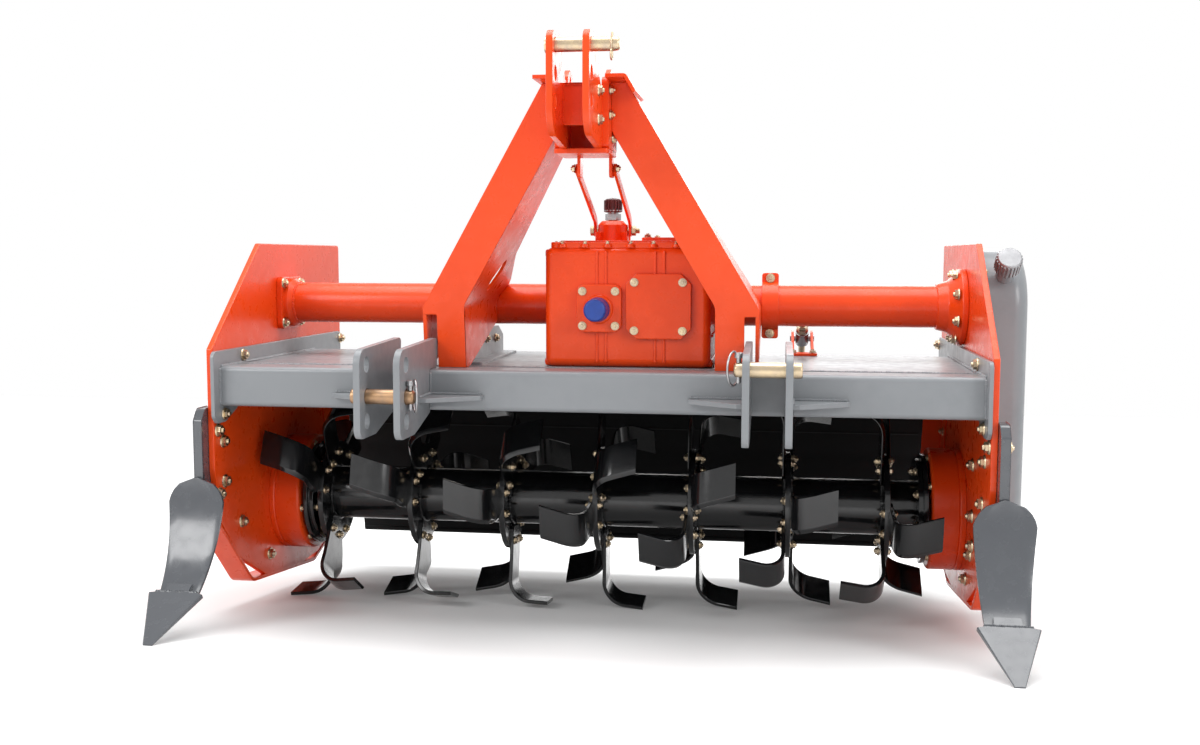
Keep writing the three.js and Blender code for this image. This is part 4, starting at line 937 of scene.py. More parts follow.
def axle_tubes():
    inner = TUBE_RADIUS - 7
    left = -HALF_INSIDE + GAP
    outline = slotted(-62, 62, TUBE_Z - 58, TUBE_Z + 58, 14)
    flange = plate(outline, left, left + TUBE_FLANGE, "x", edge=1.5)
    collar = [(0, inner), (0, TUBE_RADIUS + 10), (20, TUBE_RADIUS + 10), (30, TUBE_RADIUS + 1), (30, inner)]
    rim = TUBE_RADIUS + 19
    near = HOUSING_LOW.x - 1
    parts = [
        flange,
        lathe(eased(collar, 1.5), (left + 1, 0, TUBE_Z), (1, 0, 0), 56),
        sleeve(inner, TUBE_RADIUS, (left + 2, 0, TUBE_Z), (HOUSING_LOW.x - GAP, 0, TUBE_Z), 0.8, 64),
        sleeve(inner, rim, (near - TUBE_FLANGE, 0, TUBE_Z), (near, 0, TUBE_Z), 1.5),
    ]
    stand_in("axle_tube_left", parts, ORANGE)
    for y in (-48, 48):
        for z in (-44, 44):
            bolt("tube_bolts", (left + TUBE_FLANGE, y, TUBE_Z + z), (1, 0, 0), 1.05)
            bolt("tube_nuts", (-PLATE_OUTER - 0.4, y, TUBE_Z + z), (-1, 0, 0), 1.05)
    flange_bolts("tube_bolts", HOUSING_LOW.x - 13, -1, TUBE_RADIUS + 11, 6, 30, 0.7)

    right = HALF_INSIDE - GAP
    bell = [
        (0, inner),
        (0, TUBE_RADIUS + 4),
        (22, TUBE_RADIUS + 10),
        (40, TUBE_RADIUS + 28),
        (46, TUBE_RADIUS + 36),
        (58, TUBE_RADIUS + 36),
        (58, inner),
    ]
    parts = [
        lathe(eased(bell, 2.0), (right - 58, 0, TUBE_Z), (1, 0, 0), 72),
        sleeve(inner, TUBE_RADIUS, (HOUSING_HIGH.x + GAP, 0, TUBE_Z), (right - 30, 0, TUBE_Z), 0.8, 64),
        sleeve(inner, rim, (HOUSING_HIGH.x + 1, 0, TUBE_Z), (HOUSING_HIGH.x + 10, 0, TUBE_Z), 1.5),
    ]
    stand_in("axle_tube_right", parts, ORANGE)
    flange_bolts("tube_bolts", right - 19, -1, TUBE_RADIUS + 28, 8, 22, 1.15)
    weld("orange_welds", [(left + 31, *polar(TUBE_RADIUS, a, v=TUBE_Z)) for a in arc_steps(0, 360, 36)])


# ---- Gearbox --------------------------------------------------------------------------------


def rounded_block(low, high, radius, segments=5):
    """A casting's body: a box whose edges are all rounded."""
    bm = bmesh.new()
    bmesh.ops.create_cube(bm, size=1.0)
    size = Vector(high) - Vector(low)
    middle = (Vector(high) + Vector(low)) / 2
    bmesh.ops.transform(bm, matrix=shift(*middle) @ Matrix.Diagonal((*size, 1)), verts=bm.verts)
    edges = list(bm.edges)
    bmesh.ops.bevel(bm, geom=edges, offset=radius, segments=segments, profile=0.5, affect="EDGES")
    return mesh_from(bm)


GEARBOX_FRONT = -247.0
INPUT_COVER_HALF = 45.0
INPUT_COVER_BOLTS = 33.0
INSPECTION_OFFSET = 119.0
INSPECTION_HALF, INSPECTION_CORNER = 65.0, 20.0
INSPECTION_BOLTS = 48.0


def gearbox():
    bottom = DECK_TOP + GAP
    front, back = GEARBOX_FRONT, HOUSING_HIGH.y
    left, right, top = HOUSING_LOW.x, HOUSING_HIGH.x, HOUSING_HIGH.z
    parts = [
        rounded_block((left, front - 3, bottom), (right, back, top), 17),
        rounded_block((left - 3, front + 20, top - 22), (right + 3, back - 16, top - 4), 5, 2),
        rounded_block((left - 4, front + 16, bottom + 0.5), (right + 4, back - 8, bottom + 16), 5, 2),
    ]
    # Twin ribs down the front, over the top edge and down the back.
    for x in (SHAFT_X + 4, SHAFT_X + 121):
        for face in (-9, 9):
            low = (x + face - 2.6, front - 6, bottom + 10)
            high = (x + face + 2.6, back + 4, top - 8)
            parts.append(rounded_block(low, high, 2.2, 2))
    for z in (380, 470):
        parts.append(rounded_block((left - 4, front + 40, z - 3), (right + 4, back - 40, z + 3), 2.4, 2))
    stand_in("gearbox_housing", parts, ORANGE)
    lid(top)
    covers(front - 6)


def lid(top):
    low, high = HOUSING_LOW, HOUSING_HIGH
    base = slotted(low.x + 10, high.x - 10, -242, high.y - 10, 14)
    parts = [plate(base, top - 2, top + 10, "z", edge=2.0)]
    raised_top = slotted(low.x + 26, high.x - 22, -222, high.y - 24, 12)
    parts.append(plate(raised_top, top + 9, top + 13.3, "z", edge=1.6))
    rim = []
    # Cast lugs round the lid's rim, one at each of its bolts.
    for x in range(int(low.x) + 34, int(high.x) - 20, 46):
        rim += [(x, -238), (x, high.y - 14)]
    for y in range(-190, int(high.y) - 40, 48):
        rim += [(low.x + 14, y), (high.x - 14, y)]
    for x, y in rim:
        parts.append(lathe(eased([(0, 0), (0, 11), (7, 10), (7, 0)], 1.2), (x, y, top - 1), (0, 0, 1), 20))
        bolt("lid_bolts", (x, y, top + 6), (0, 0, 1), 0.62)
    plate_outline = slotted(84, 176, -190, 40, 10)
    parts.append(plate(plate_outline, top + 12, top + 20, "z", edge=1.6))
    neck = [(0, 0), (0, 36), (5, 34), (12, 33), (38, 32), (44, 27), (47, 24), (47, 12), (40, 12), (40, 0)]
    parts.append(lathe(eased(neck, 1.0), (SHAFT_X + 2, -60, top + 10), (0, 0, 1), 56))
    for k in range(4):
        angle = math.radians(45 + 90 * k)
        web = rounded_block((20, -3.5, 0), (46, 3.5, 22), 2.0, 2)
        parts.append(placed(web, Matrix.Rotation(angle, 4, "Z"), shift(SHAFT_X + 2, -60, top + 11)))
    stand_in("gearbox_lid", parts, ORANGE)
    for x, y in ((96, -176), (164, -176), (96, 26), (164, 26)):
        bolt("lid_bolts", (x, y, top + 20), (0, 0, 1), 0.8)
    breather(top + 42)


def ribs(count, low, high, radius, *steps):
    """Grip ribs round a cap that stands on z, then the steps that place it."""
    made = []
    for k in range(count):
        spin = Matrix.Rotation(2 * math.pi * k / count, 4, "Z")
        made.append(placed(rounded_block(low, high, radius, 2), spin, *steps))
    return made


def breather(base):
    """A steel union with a ribbed filler cap above it."""
    x, y = SHAFT_X + 2, -60
    outline = circle(0, 0, 17, 6)
    union = [
        rod(10.5, (x, y, base), (x, y, base + 20), 0.8),
        placed(plate(outline, 16, 30, "z", edge=1.2), shift(x, y, base)),
        rod(12, (x, y, base + 28), (x, y, base + 34), 0.8),
    ]
    piece("breather_union", union, STEEL)
    profile = [(0, 0), (0, 17), (27, 17), (29, 14), (29, 0)]
    cap = [lathe(eased(profile, 1.0), (x, y, base + 33), (0, 0, 1), 40)]
    cap += ribs(16, (16, -1.6, 1), (19.8, 1.6, 26), 1.0, shift(x, y, base + 33))
    stand_in("breather_cap", cap, MAROON)
    collar = [sleeve(17.2, 19.4, (x, y, base + 35), (x, y, base + 38), 0.5)]
    collar.append(rod(8, (x, y, base + 60), (x, y, base + 63.5), 1.2))
    piece("breather_collar", collar, STEEL)


def octagon(u, v, half, corner):
    points = []
    for su, sv in ((-1, -1), (1, -1), (1, 1), (-1, 1)):
        pair = [(u + su * (half - corner), v + sv * half), (u + su * half, v + sv * (half - corner))]
        points += pair if su * sv < 0 else pair[::-1]
    return points


def covers(face):
    """The shaft's bearing cover and the octagonal inspection cover, on the gearbox's front."""
    z = TUBE_Z
    thick = 9.5
    outline = slotted(SHAFT_X - INPUT_COVER_HALF, SHAFT_X + INPUT_COVER_HALF, z - 46, z + 50, 16, 6)
    boss = [(0, 18), (0, 26), (3, 29), (16, 30), (16, 18)]
    input_cover = [
        plate(outline, face - thick, face + 2, "y", edge=2.2),
        lathe(eased(boss, 1.0), (SHAFT_X, face - thick - 8, z), (0, 1, 0), 56),
    ]
    stand_in("input_cover", input_cover, ORANGE)
    for dx in (-INPUT_COVER_BOLTS, INPUT_COVER_BOLTS):
        for dz in (-INPUT_COVER_BOLTS, INPUT_COVER_BOLTS + 3):
            bolt("cover_bolts", (SHAFT_X + dx, face - thick, z + dz), (0, -1, 0), 0.8)
    middle = SHAFT_X + INSPECTION_OFFSET
    outline = softened(octagon(middle, z + 6, INSPECTION_HALF, INSPECTION_CORNER), 6)
    inspection = plate(outline, face - 8, face + 2, "y", edge=2.0)
    stand_in("inspection_cover", [inspection], ORANGE)
    for dx in (-INSPECTION_BOLTS, INSPECTION_BOLTS):
        for dz in (-INSPECTION_BOLTS, INSPECTION_BOLTS):
            bolt("cover_bolts", (middle + dx, face - 8, z + 6 + dz), (0, -1, 0), 0.8)
    splines = []
    for k in range(6):
        for turn, radius in ((-14, 14), (-11, 17), (11, 17), (14, 14)):
            splines.append(polar(radius, math.radians(60 * k + turn), SHAFT_X, z))
    shaft = plate(splines, SHAFT_LOW.y, -170, "y", edge=0.8)
    stand_in("input_shaft", [shaft], STEEL, "input_shaft")
    cap = [(0, 0), (0, 18.5), (2, 21), (5, 22.4), (40, 23), (44, 24.5), (44, 18.4), (5, 18.4), (5, 0)]
    cap_mesh = lathe(eased(cap, 0.8), (SHAFT_X, SHAFT_LOW.y - 6, z), (0, 1, 0), 56)
    stand_in("input_shaft_cap", [cap_mesh], BLUE, "input_shaft")


# ---- Side gear case -------------------------------------------------------------------------


def stadium(radius, low, high, steps=24):
    upper = [polar(radius, a, v=high) for a in arc_steps(0, 180, steps)]
    return upper + [polar(radius, a, v=low) for a in arc_steps(180, 360, steps)]


CASE_RADIUS = 122.0
CASE_FLANGE = 11.0
CASE_BOLTS = CASE_RADIUS + 5
FILLER_LEAN = 34.0


def loft(rings):
    """A closed skin over rings of points, flat at both ends."""
    bm = bmesh.new()
    loops = [[bm.verts.new(point) for point in ring] for ring in rings]
    for lower, upper in zip(loops, loops[1:]):
        count = len(lower)
        for k in range(count):
            bm.faces.new((lower[k], lower[(k + 1) % count], upper[(k + 1) % count], upper[k]))
    bm.faces.new(loops[0])
    bm.faces.new(loops[-1])
    bmesh.ops.recalc_face_normals(bm, faces=bm.faces)
    return mesh_from(bm)


def gear_case():
    inner = CASE_LOW.x
    flange = plate(stadium(CASE_RADIUS + 12, 0, TUBE_Z), inner, inner + CASE_FLANGE, "x", edge=2.0)
    # The cover is a deep pressing: straight sides, then a generous round into a flat face.
    steps = [(2, 0), (70, 2), (82, 5), (91, 12), (98, 22), (101.5, 34)]
    rings = []
    for depth, inset in steps:
        outline = stadium(CASE_RADIUS - inset, 0, TUBE_Z, 28)
        rings.append([(inner + depth, y, z) for y, z in outline])
    parts = [flange, loft(rings)]
    lean = math.radians(FILLER_LEAN)
    axis = Vector((0, -math.cos(lean), math.sin(lean)))
    middle = Vector((inner + 52, 0, TUBE_Z))
    neck = [(0, 0), (0, 19), (14, 17), (24, 17), (24, 0)]
    parts.append(lathe(eased(neck, 1.0), middle + axis * (CASE_RADIUS - 8), axis, 40))
    stand_in("gear_case", parts, GREY)
    for angle in arc_steps(0, 180, 5):
        for end, sign in ((TUBE_Z, 1), (0, -1)):
            where = (inner + CASE_FLANGE, *polar(CASE_BOLTS, sign * angle, v=end))
            bolt("case_bolts", where, (1, 0, 0), 0.72)
    for k in range(1, 4):
        for y in (-CASE_BOLTS, CASE_BOLTS):
            bolt("case_bolts", (inner + CASE_FLANGE, y, TUBE_Z * k / 4), (1, 0, 0), 0.72)
    seat = middle + axis * (CASE_RADIUS + 16.5)
    profile = [(0, 0), (0, 19), (8, 19), (10, 24), (46, 24), (50, 22), (50, 0)]
    cap = [lathe(eased(profile, 1.0), seat, axis, 48)]
    cap += ribs(22, (22.5, -1.9, 12), (26, 1.9, 45), 1.1, towards(axis), shift(*seat))
    stand_in("gear_case_cap", cap, ALLOY)


# ---- Rotor ----------------------------------------------------------------------------------

ROTOR_LEFT, ROTOR_RIGHT = span("rotor_tube")[0].x, span("rotor_tube")[1].x
STEP = 10.0
JOURNAL = 32.0
KNIFE_LAG = math.degrees(math.asin((KNIFE_SWEEP + KNIFE_WIDTH / 2) / ROTOR_REACH))


def knife():
    """A knife in a flange's plane that bends to +x at its outer end and sweeps back there."""
    half_width, half = KNIFE_WIDTH / 2, KNIFE_THICKNESS / 2
    reach = math.sqrt(ROTOR_REACH**2 - (KNIFE_SWEEP + half_width) ** 2) - half
    inner = reach - KNIFE_BEND
    stem = FLANGE_THICKNESS / 2 + half - 1
    steps = 12
    slant = (KNIFE_SWEEP - SWEEP_BEFORE_BEND) / (KNIFE_ACROSS - stem)
    path = [(KNIFE_ROOT, stem, 0, half_width - 8), (KNIFE_ROOT + 8, stem, 0, half_width)]
    path += [(FLANGE_RADIUS + 6, stem, 0, half_width), (inner - 20, stem, 3, half_width)]
    for k in range(steps + 1):
        turn = math.pi / 2 * k / steps
        aside = KNIFE_BEND * (1 - math.cos(turn))
        sweep = SWEEP_BEFORE_BEND + slant * aside
        path.append((inner + KNIFE_BEND * math.sin(turn), stem + aside, sweep, half_width))
    path.append((reach, KNIFE_ACROSS, KNIFE_SWEEP, half_width))
    rings = []
    for i, (radius, x, sweep, wide) in enumerate(path):
        before, after = path[max(i - 1, 0)], path[min(i + 1, len(path) - 1)]
        along = Vector((after[0] - before[0], after[1] - before[1])).normalized()
        normal = Vector((along.y, -along.x))
        # The leading edge is ground to a bevel, and the trailing edge is eased.
        section = [
            (half - 0.8, -wide + 7),
            (half, -wide + 10),
            (half, wide - 1.2),
            (half - 1.2, wide),
            (-half + 1.2, wide),
            (-half, wide - 1.2),
            (-half, -wide + 1.6),
            (-half + 0.8, -wide),
            (-half + 2.4, -wide),
        ]
        rings.append(
            [((x + normal.y * off), sweep + across, radius + normal.x * off) for off, across in section]
        )
    return loft(rings)


def rotor():
    length = ROTOR_RIGHT - ROTOR_LEFT
    outer = DRUM_RADIUS - 12
    profile = [
        (0, JOURNAL),
        (0, outer),
        (STEP, outer),
        (STEP, outer - 10),
        (2 * STEP, outer - 10),
        (2 * STEP, ROTOR_TUBE_RADIUS),
        (length - 2 * STEP, ROTOR_TUBE_RADIUS),
        (length - 2 * STEP, outer - 10),
        (length - STEP, outer - 10),
        (length - STEP, outer),
        (length, outer),
        (length, JOURNAL),
    ]
    tube = lathe(eased(profile, 1.2), (ROTOR_LEFT, 0, 0), (1, 0, 0), 96)
    stand_in("rotor_tube", [tube], BLACK, "rotor")
    for end, aim in ((ROTOR_LEFT + 2 * STEP, 1), (ROTOR_RIGHT - 2 * STEP, -1)):
        for angle in arc_steps(15, 375, 8)[:-1]:
            bolt("rotor_bolts", (end, *polar(84, angle)), (aim, 0, 0), 0.85)
    for k in range(FLANGE_COUNT):
        knife_set(k)
    make_welds("rotor_welds", BLACK, "rotor", Bead_Width=8.0, Ripple_Pitch=3.6)


KNIFE_BOLTS = 23.0
KNIFE_BOLT_RADIUS = 97.0


def knife_set(k):
    x = FLANGE_MIDDLE + (k - (FLANGE_COUNT - 1) / 2) * FLANGE_PITCH
    half = FLANGE_THICKNESS / 2
    parts = [sleeve(ROTOR_TUBE_RADIUS - 1, FLANGE_RADIUS, (x - half, 0, 0), (x + half, 0, 0), 1.2, 84)]
    for side in (-1, 1):
        foot = ROTOR_TUBE_RADIUS + 1
        weld("rotor_welds", [(x + side * (half + 1), *polar(foot, a)) for a in arc_steps(0, 360, 48)])
    below = 90 - math.degrees(PITCH) + KNIFE_LAG + FLANGE_TURN * (k - PARKED_FLANGE)
    for n in range(PAIRS_PER_FLANGE):
        first = below + n * 360 / PAIRS_PER_FLANGE
        for side, angle in ((1, first), (-1, first + PAIR_TURN)):
            # The knife is drawn with its stem up, and the front lies a quarter turn further on.
            turn = Matrix.Rotation(math.radians(angle + 90), 4, "X")
            blade = knife()
            if side < 0:
                blade = placed(blade, mirror())
            parts.append(placed(blade, turn, shift(x)))
            for across in (-KNIFE_BOLTS, KNIFE_BOLTS):
                for face, reach in ((side, half + KNIFE_THICKNESS - 1), (-side, half)):
                    where = Vector((face * reach, across, KNIFE_BOLT_RADIUS))
                    bolt("rotor_bolts", turn @ where + Vector((x, 0, 0)), (face, 0, 0), 0.88)
    stand_in(f"knife_set_{k + 1}", parts, BLACK, "rotor")


# ---- Bearing drums --------------------------------------------------------------------------

DRUM_LOW, DRUM_HIGH = span("bearing_drum_right")
BAFFLE_LOW, BAFFLE_HIGH = span("side_baffle_right")
BAFFLE_SEAT = 55.0
BAFFLE_BOLT = (240, 135)
DRUM_DEPTH = 68.0
DRUM_BOLTS = 112.0
BAFFLE_THICKNESS = 4.0


def drum():
    depth = DRUM_DEPTH
    inner = HALF_INSIDE - GAP - depth
    shell = [
        (0, 72),
        (0, DRUM_RADIUS - 4),
        (4, DRUM_RADIUS),
        (depth - 14, DRUM_RADIUS),
        (depth - 12, DRUM_RADIUS - 2),
        (depth - 10, DRUM_RADIUS),
        (depth, DRUM_RADIUS),
        (depth, 0),
        (-KNUCKLE_GAP - STEP, 0),
        (-KNUCKLE_GAP - STEP, JOURNAL - 2 * GAP),
        (12, JOURNAL - 2 * GAP),
        (14, 72),
    ]
    return lathe(eased(shell, 1.2), (inner, 0, 0), (1, 0, 0), 84)


def baffle():
    """An angle behind the drum: one leg stands across, the other lies forward on the side plate."""
    low = (BAFFLE_HIGH.y, BAFFLE_LOW.z)
    high = (BAFFLE_LOW.y + BAFFLE_SEAT, BAFFLE_HIGH.z)
    outer = BAFFLE_HIGH.x
    across = plate(thick_line([high, low], BAFFLE_THICKNESS), BAFFLE_LOW.x, outer, "x", edge=0.9)
    seat = [low, high, (high[0] - BAFFLE_SEAT, high[1], 6), (low[0] - BAFFLE_SEAT, low[1], 6)]
    return joined(across, plate(softened(seat, 0), outer - BAFFLE_THICKNESS, outer, "x", edge=0.9))


# The bolts inside each side plate, by side. The gear case hangs on those of the right one.
PLATE_BOLTS = {
    -1: ((-350, 165), (-346, 82), (-270, -17), (-130, -120)),
    1: ((-328, 156), (-188, 127), (-309, 72), (-195, 25), (-206, -33), (-185, -56), (-129, -120)),
}


def drums():
    both_sides("bearing_drum", drum, ORANGE)
    both_sides("side_baffle", baffle, ORANGE)
    for _, sign in SIDES:
        inner = sign * (HALF_INSIDE - GAP - DRUM_DEPTH)
        for angle in arc_steps(10, 370, 8)[:-1]:
            bolt("drum_bolts", (inner, *polar(DRUM_BOLTS, angle)), (-sign, 0, 0), 0.8)
        for y, z in PLATE_BOLTS[sign]:
            bolt("plate_bolts", (sign * (HALF_INSIDE - 0.4), y, z), (-sign, 0, 0), 1.25)
            if sign < 0:
                bolt("plate_nuts", (sign * (PLATE_OUTER + 0.4), y, z), (sign, 0, 0), 1.0)
        seat_face = sign * (BAFFLE_HIGH.x - BAFFLE_THICKNESS)
        bolt("plate_bolts", (seat_face, *BAFFLE_BOLT), (-sign, 0, 0), 0.9)


# ---- Track shovels --------------------------------------------------------------------------

SHOVEL_X = 774.0
SHOVEL_LEAN = 10.0
SHOVEL_HALF = 57.0
SHOVEL_THICKNESS = 9.0
SHANK_THICKNESS = 18.0
SHOVEL_TOP = (-426.0, 102.0)
SHOVEL_BEND = (-436.0, -30.0)
SHOVEL_LOW = (-534.0, -106.0)
SHOVEL_TIP = (-651.0, -167.0)


def shovel_curve(share):
    """A point on the blade's front face, from its top to the root of its point."""
    a, b, c = Vector(SHOVEL_TOP), Vector(SHOVEL_BEND), Vector(SHOVEL_LOW)
    return (1 - share) ** 2 * a + 2 * share * (1 - share) * b + share**2 * c


def forward_of(along):
    """The direction square to a line in (y, z) that looks to the front."""
    normal = Vector((-along.y, along.x)).normalized()
    return -normal if normal.x > 0 else normal


def shovel_blade():
    """A round-topped blade that narrows downward and curves forward, dished across its width."""
    rings = []
    steps = 22
    for k in range(steps + 1):
        share = k / steps
        at = shovel_curve(share)
        ahead = shovel_curve(min(share + 0.02, 1)) - shovel_curve(max(share - 0.02, 0))
        normal = forward_of(ahead)
        drop = SHOVEL_TOP[1] - at.y
        wide = SHOVEL_HALF - (SHOVEL_HALF - 38) * max(0.0, (share - 0.15) / 0.85)
        if drop < SHOVEL_HALF:
            wide = min(wide, math.sqrt(max(SHOVEL_HALF**2 - (SHOVEL_HALF - drop) ** 2, 9.0)))
        middle = SHOVEL_X - SHOVEL_LEAN * share
        front, back = [], []
        columns = 12
        for c in range(columns + 1):
            u = -1 + 2 * c / columns
            dish = 0.8 * (1 - u * u)
            ease = 1.4 if abs(u) > 0.97 else 0.0
            y, z = at - normal * (dish + ease)
            front.append((middle + u * wide, y, z))
            y, z = at - normal * (SHOVEL_THICKNESS - ease)
            back.append((middle + u * wide, y, z))
        rings.append(front + back[::-1])
    return loft(rings)


def shovel_point():
    """The reversible arrow point, laid on the blade's lower end and bolted there."""
    low = Vector(SHOVEL_LOW)
    tip = Vector(SHOVEL_TIP)
    along = (tip - low).normalized()
    up = Vector((along.y, -along.x))
    length = (tip - low).length
    middle = SHOVEL_X - SHOVEL_LEAN
    outline = [(-22, -24), (-22, 24), (-2, 25), (4, 54), (length, 9), (length, -9), (4, -54), (-2, -25)]
    thick = 10.5
    rings = []
    for height, inset in ((GAP, 0.6), (GAP + 1.2, 0.0), (thick - 2.0, 0.0), (thick, 1.8)):
        ring = []
        for distance, across in outline:
            taper = 1 - 0.72 * max(0.0, distance / length)
            lift = height * taper
            shrink = 1 - inset / 54
            y, z = low + along * (distance * (1 - inset / length)) + up * lift
            ring.append((middle + across * shrink, y, z))
        rings.append(ring)
    return loft(rings)


def shank():
    """The bar behind the blade, bolted flat to the side plate."""
    back = [Vector(shovel_curve(k / 10)) for k in range(11)]
    outline = [(-344, 10, 8), (-344, 236, 14), (-400, 236, 12), (-417, 214, 8)]
    seat = []
    for k in range(0, 8):
        at = back[k]
        normal = forward_of(back[k + 1] - back[max(k - 1, 0)])
        seat.append((at - normal * (SHOVEL_THICKNESS + GAP)).to_tuple() + (0,))
    outline += seat + [(-452, -22, 4)]
    start = PLATE_OUTER + GAP
    return plate(softened(outline, 4), start, start + SHANK_THICKNESS, "x", edge=1.6)


def shovels():
    both_sides("shovel_blade", shovel_blade, SLATE)
    both_sides("shovel_point", shovel_point, SLATE)
    both_sides("shovel_shank", shank, SLATE)
    for _, sign in SIDES:
        for y, z in ((-372, 190), (-372, 60)):
            bolt("shank_bolts", (sign * (PLATE_OUTER + SHANK_THICKNESS + 0.5), y, z), (sign, 0, 0), 1.25)
            bolt("shank_nuts", (sign * (HALF_INSIDE - 0.4), y, z), (-sign, 0, 0), 1.25)
        low = Vector(SHOVEL_LOW)
        seam = [(sign * (SHOVEL_X - SHOVEL_LEAN + across), low.x - 3, low.y + 8) for across in (-40, 40)]
        weld("shovel_welds", seam)


# ---- Three-point hitch ----------------------------------------------------------------------

HITCH_HALF = 349.0
HITCH_GAP = 62.0
HITCH_PLATE = 13.0
HITCH_FRONT = span("hitch_plate_left_outer")[0].y
HITCH_HOLES = (341.0, 282.0, 236.0)
HITCH_PIN = 14.0
HITCH_PIN_Y = HITCH_FRONT + 40


def hitch_plates():
    outline = softened(
        [
            (HITCH_FRONT, 206, 20),
            (HITCH_FRONT + 90, 206, 20),
            (BEAM_LOW.y - GAP, BEAM_LOW.z - 4, 0),
            (BEAM_LOW.y - GAP, BEAM_HIGH.z + GAP, 0),
            (BEAM_LOW.y + 52, BEAM_HIGH.z + GAP, 4),
            (BEAM_LOW.y + 60, 374, 10),
            (BEAM_LOW.y + 48, 378, 10),
            (HITCH_FRONT, 370, 30),
        ],
        0,
        steps=8,
    )
    holes = [circle(HITCH_PIN_Y, z, HITCH_PIN + 0.5, 36) for z in HITCH_HOLES]
    for (side, sign), pin_hole in zip(SIDES, (1, 0)):
        middle = HITCH_X + sign * HITCH_HALF
        for face, outward in (("outer", sign), ("inner", -sign)):
            near = middle + outward * HITCH_GAP / 2
            far = near + outward * HITCH_PLATE
            parts = [plate(outline, min(near, far), max(near, far), "x", holes, 1.3)]
            gusset = [
                (far - outward * 2, HITCH_FRONT + 118, 0),
                (far + outward * 14, HITCH_FRONT + 118, 6),
                (far + outward * 106, BEAM_LOW.y - 16, 5),
                (far + outward * 106, BEAM_LOW.y - GAP, 0),
                (far - outward * 2, BEAM_LOW.y - GAP, 0),
            ]
            parts.append(plate(softened(gusset, 0), 262, 271, "z", edge=1.1))
            name = f"hitch_plate_{side}_{face}"
            stand_in(name, parts, GREY)
            x = far + outward * 1.5
            weld("frame_welds", [(x, BEAM_LOW.y - 2, BEAM_LOW.z + 6), (x, BEAM_LOW.y - 2, BEAM_HIGH.z - 8)])
            weld("frame_welds", [(x, HITCH_FRONT + 122, 273), (x, BEAM_LOW.y - 4, 273)])
            weld("frame_welds", [(x, BEAM_LOW.y - 2, 272.5), (far + outward * 100, BEAM_LOW.y - 2, 272.5)])
        hitch_pin(side, middle, HITCH_HOLES[pin_hole], sign)


def hitch_pin(side, middle, z, sign):
    """A lower link pin with its linch pin and ring at the free end."""
    length = HITCH_GAP + 2 * HITCH_PLATE + 32
    start = Vector((middle + sign * length / 2, HITCH_PIN_Y, z))
    axis = Vector((-sign, 0, 0))
    head = [(0, 0), (0, 13), (4, HITCH_PIN)]
    nose = [(length - 12, HITCH_PIN), (length - 3, HITCH_PIN - 1.5), (length, 9), (length, 0)]
    pin = lathe(eased(head + nose, 1.4), start, axis, 48)
    at = start + axis * (length - 9)
    linch = [
        rod(4.4, at + Vector((0, 0, 22)), at - Vector((0, 0, 24)), 1.5, 24),
        rod(7.5, at + Vector((0, 0, 21)), at + Vector((0, 0, 31)), 1.5, 24),
    ]
    ring = [
        at + axis * (9 + 10 * math.sin(a)) + Vector((0, -22 * math.sin(a), 2 + 30 * math.cos(a)))
        for a in arc_steps(0, 360, 40)[:-1]
    ]
    linch.append(wire(ring, 2.0, closed=True))
    piece(f"linch_pin_{side}", linch, STEEL)
    stand_in(f"hitch_pin_{side}", [pin], COPPER if sign < 0 else ZINC)


# ---- Mast -----------------------------------------------------------------------------------

LEG_FOOT = 330.0
LEG_WIDTH = 70.0
LEG_WALL = 7.0
LEG_TOP = 862.0
KNEE = 438.0
LEG_HALF_TOP = 80.0
LEG_RISE = (LEG_TOP - KNEE) / (LEG_FOOT - LEG_HALF_TOP)
LEG_SLOPE = math.atan(LEG_RISE)
LUG_GAP = 52.0
LUG_THICKNESS = 12.0
CHEEK = LUG_GAP / 2 + LUG_THICKNESS + 13
LEG_HOLE = (-190.0, KNEE + 62)
LEG_HOLE_SIZE = (34.0, 18.0)
LEG_HOLE_TILT = 60.0


def leg_edges():
    """The leg's outer and inner outline as functions of height."""
    rise = LEG_RISE
    across = LEG_WIDTH / math.sin(LEG_SLOPE)

    def outer(z):
        return LEG_FOOT - max(z - KNEE, 0) / rise

    foot_inner = LEG_FOOT - 84
    inner_knee = KNEE + rise * (LEG_FOOT - foot_inner - across)

    def inner(z):
        return max(min(LEG_FOOT - (z - KNEE) / rise - across, foot_inner), CHEEK + GAP)

    return outer, inner, inner_knee


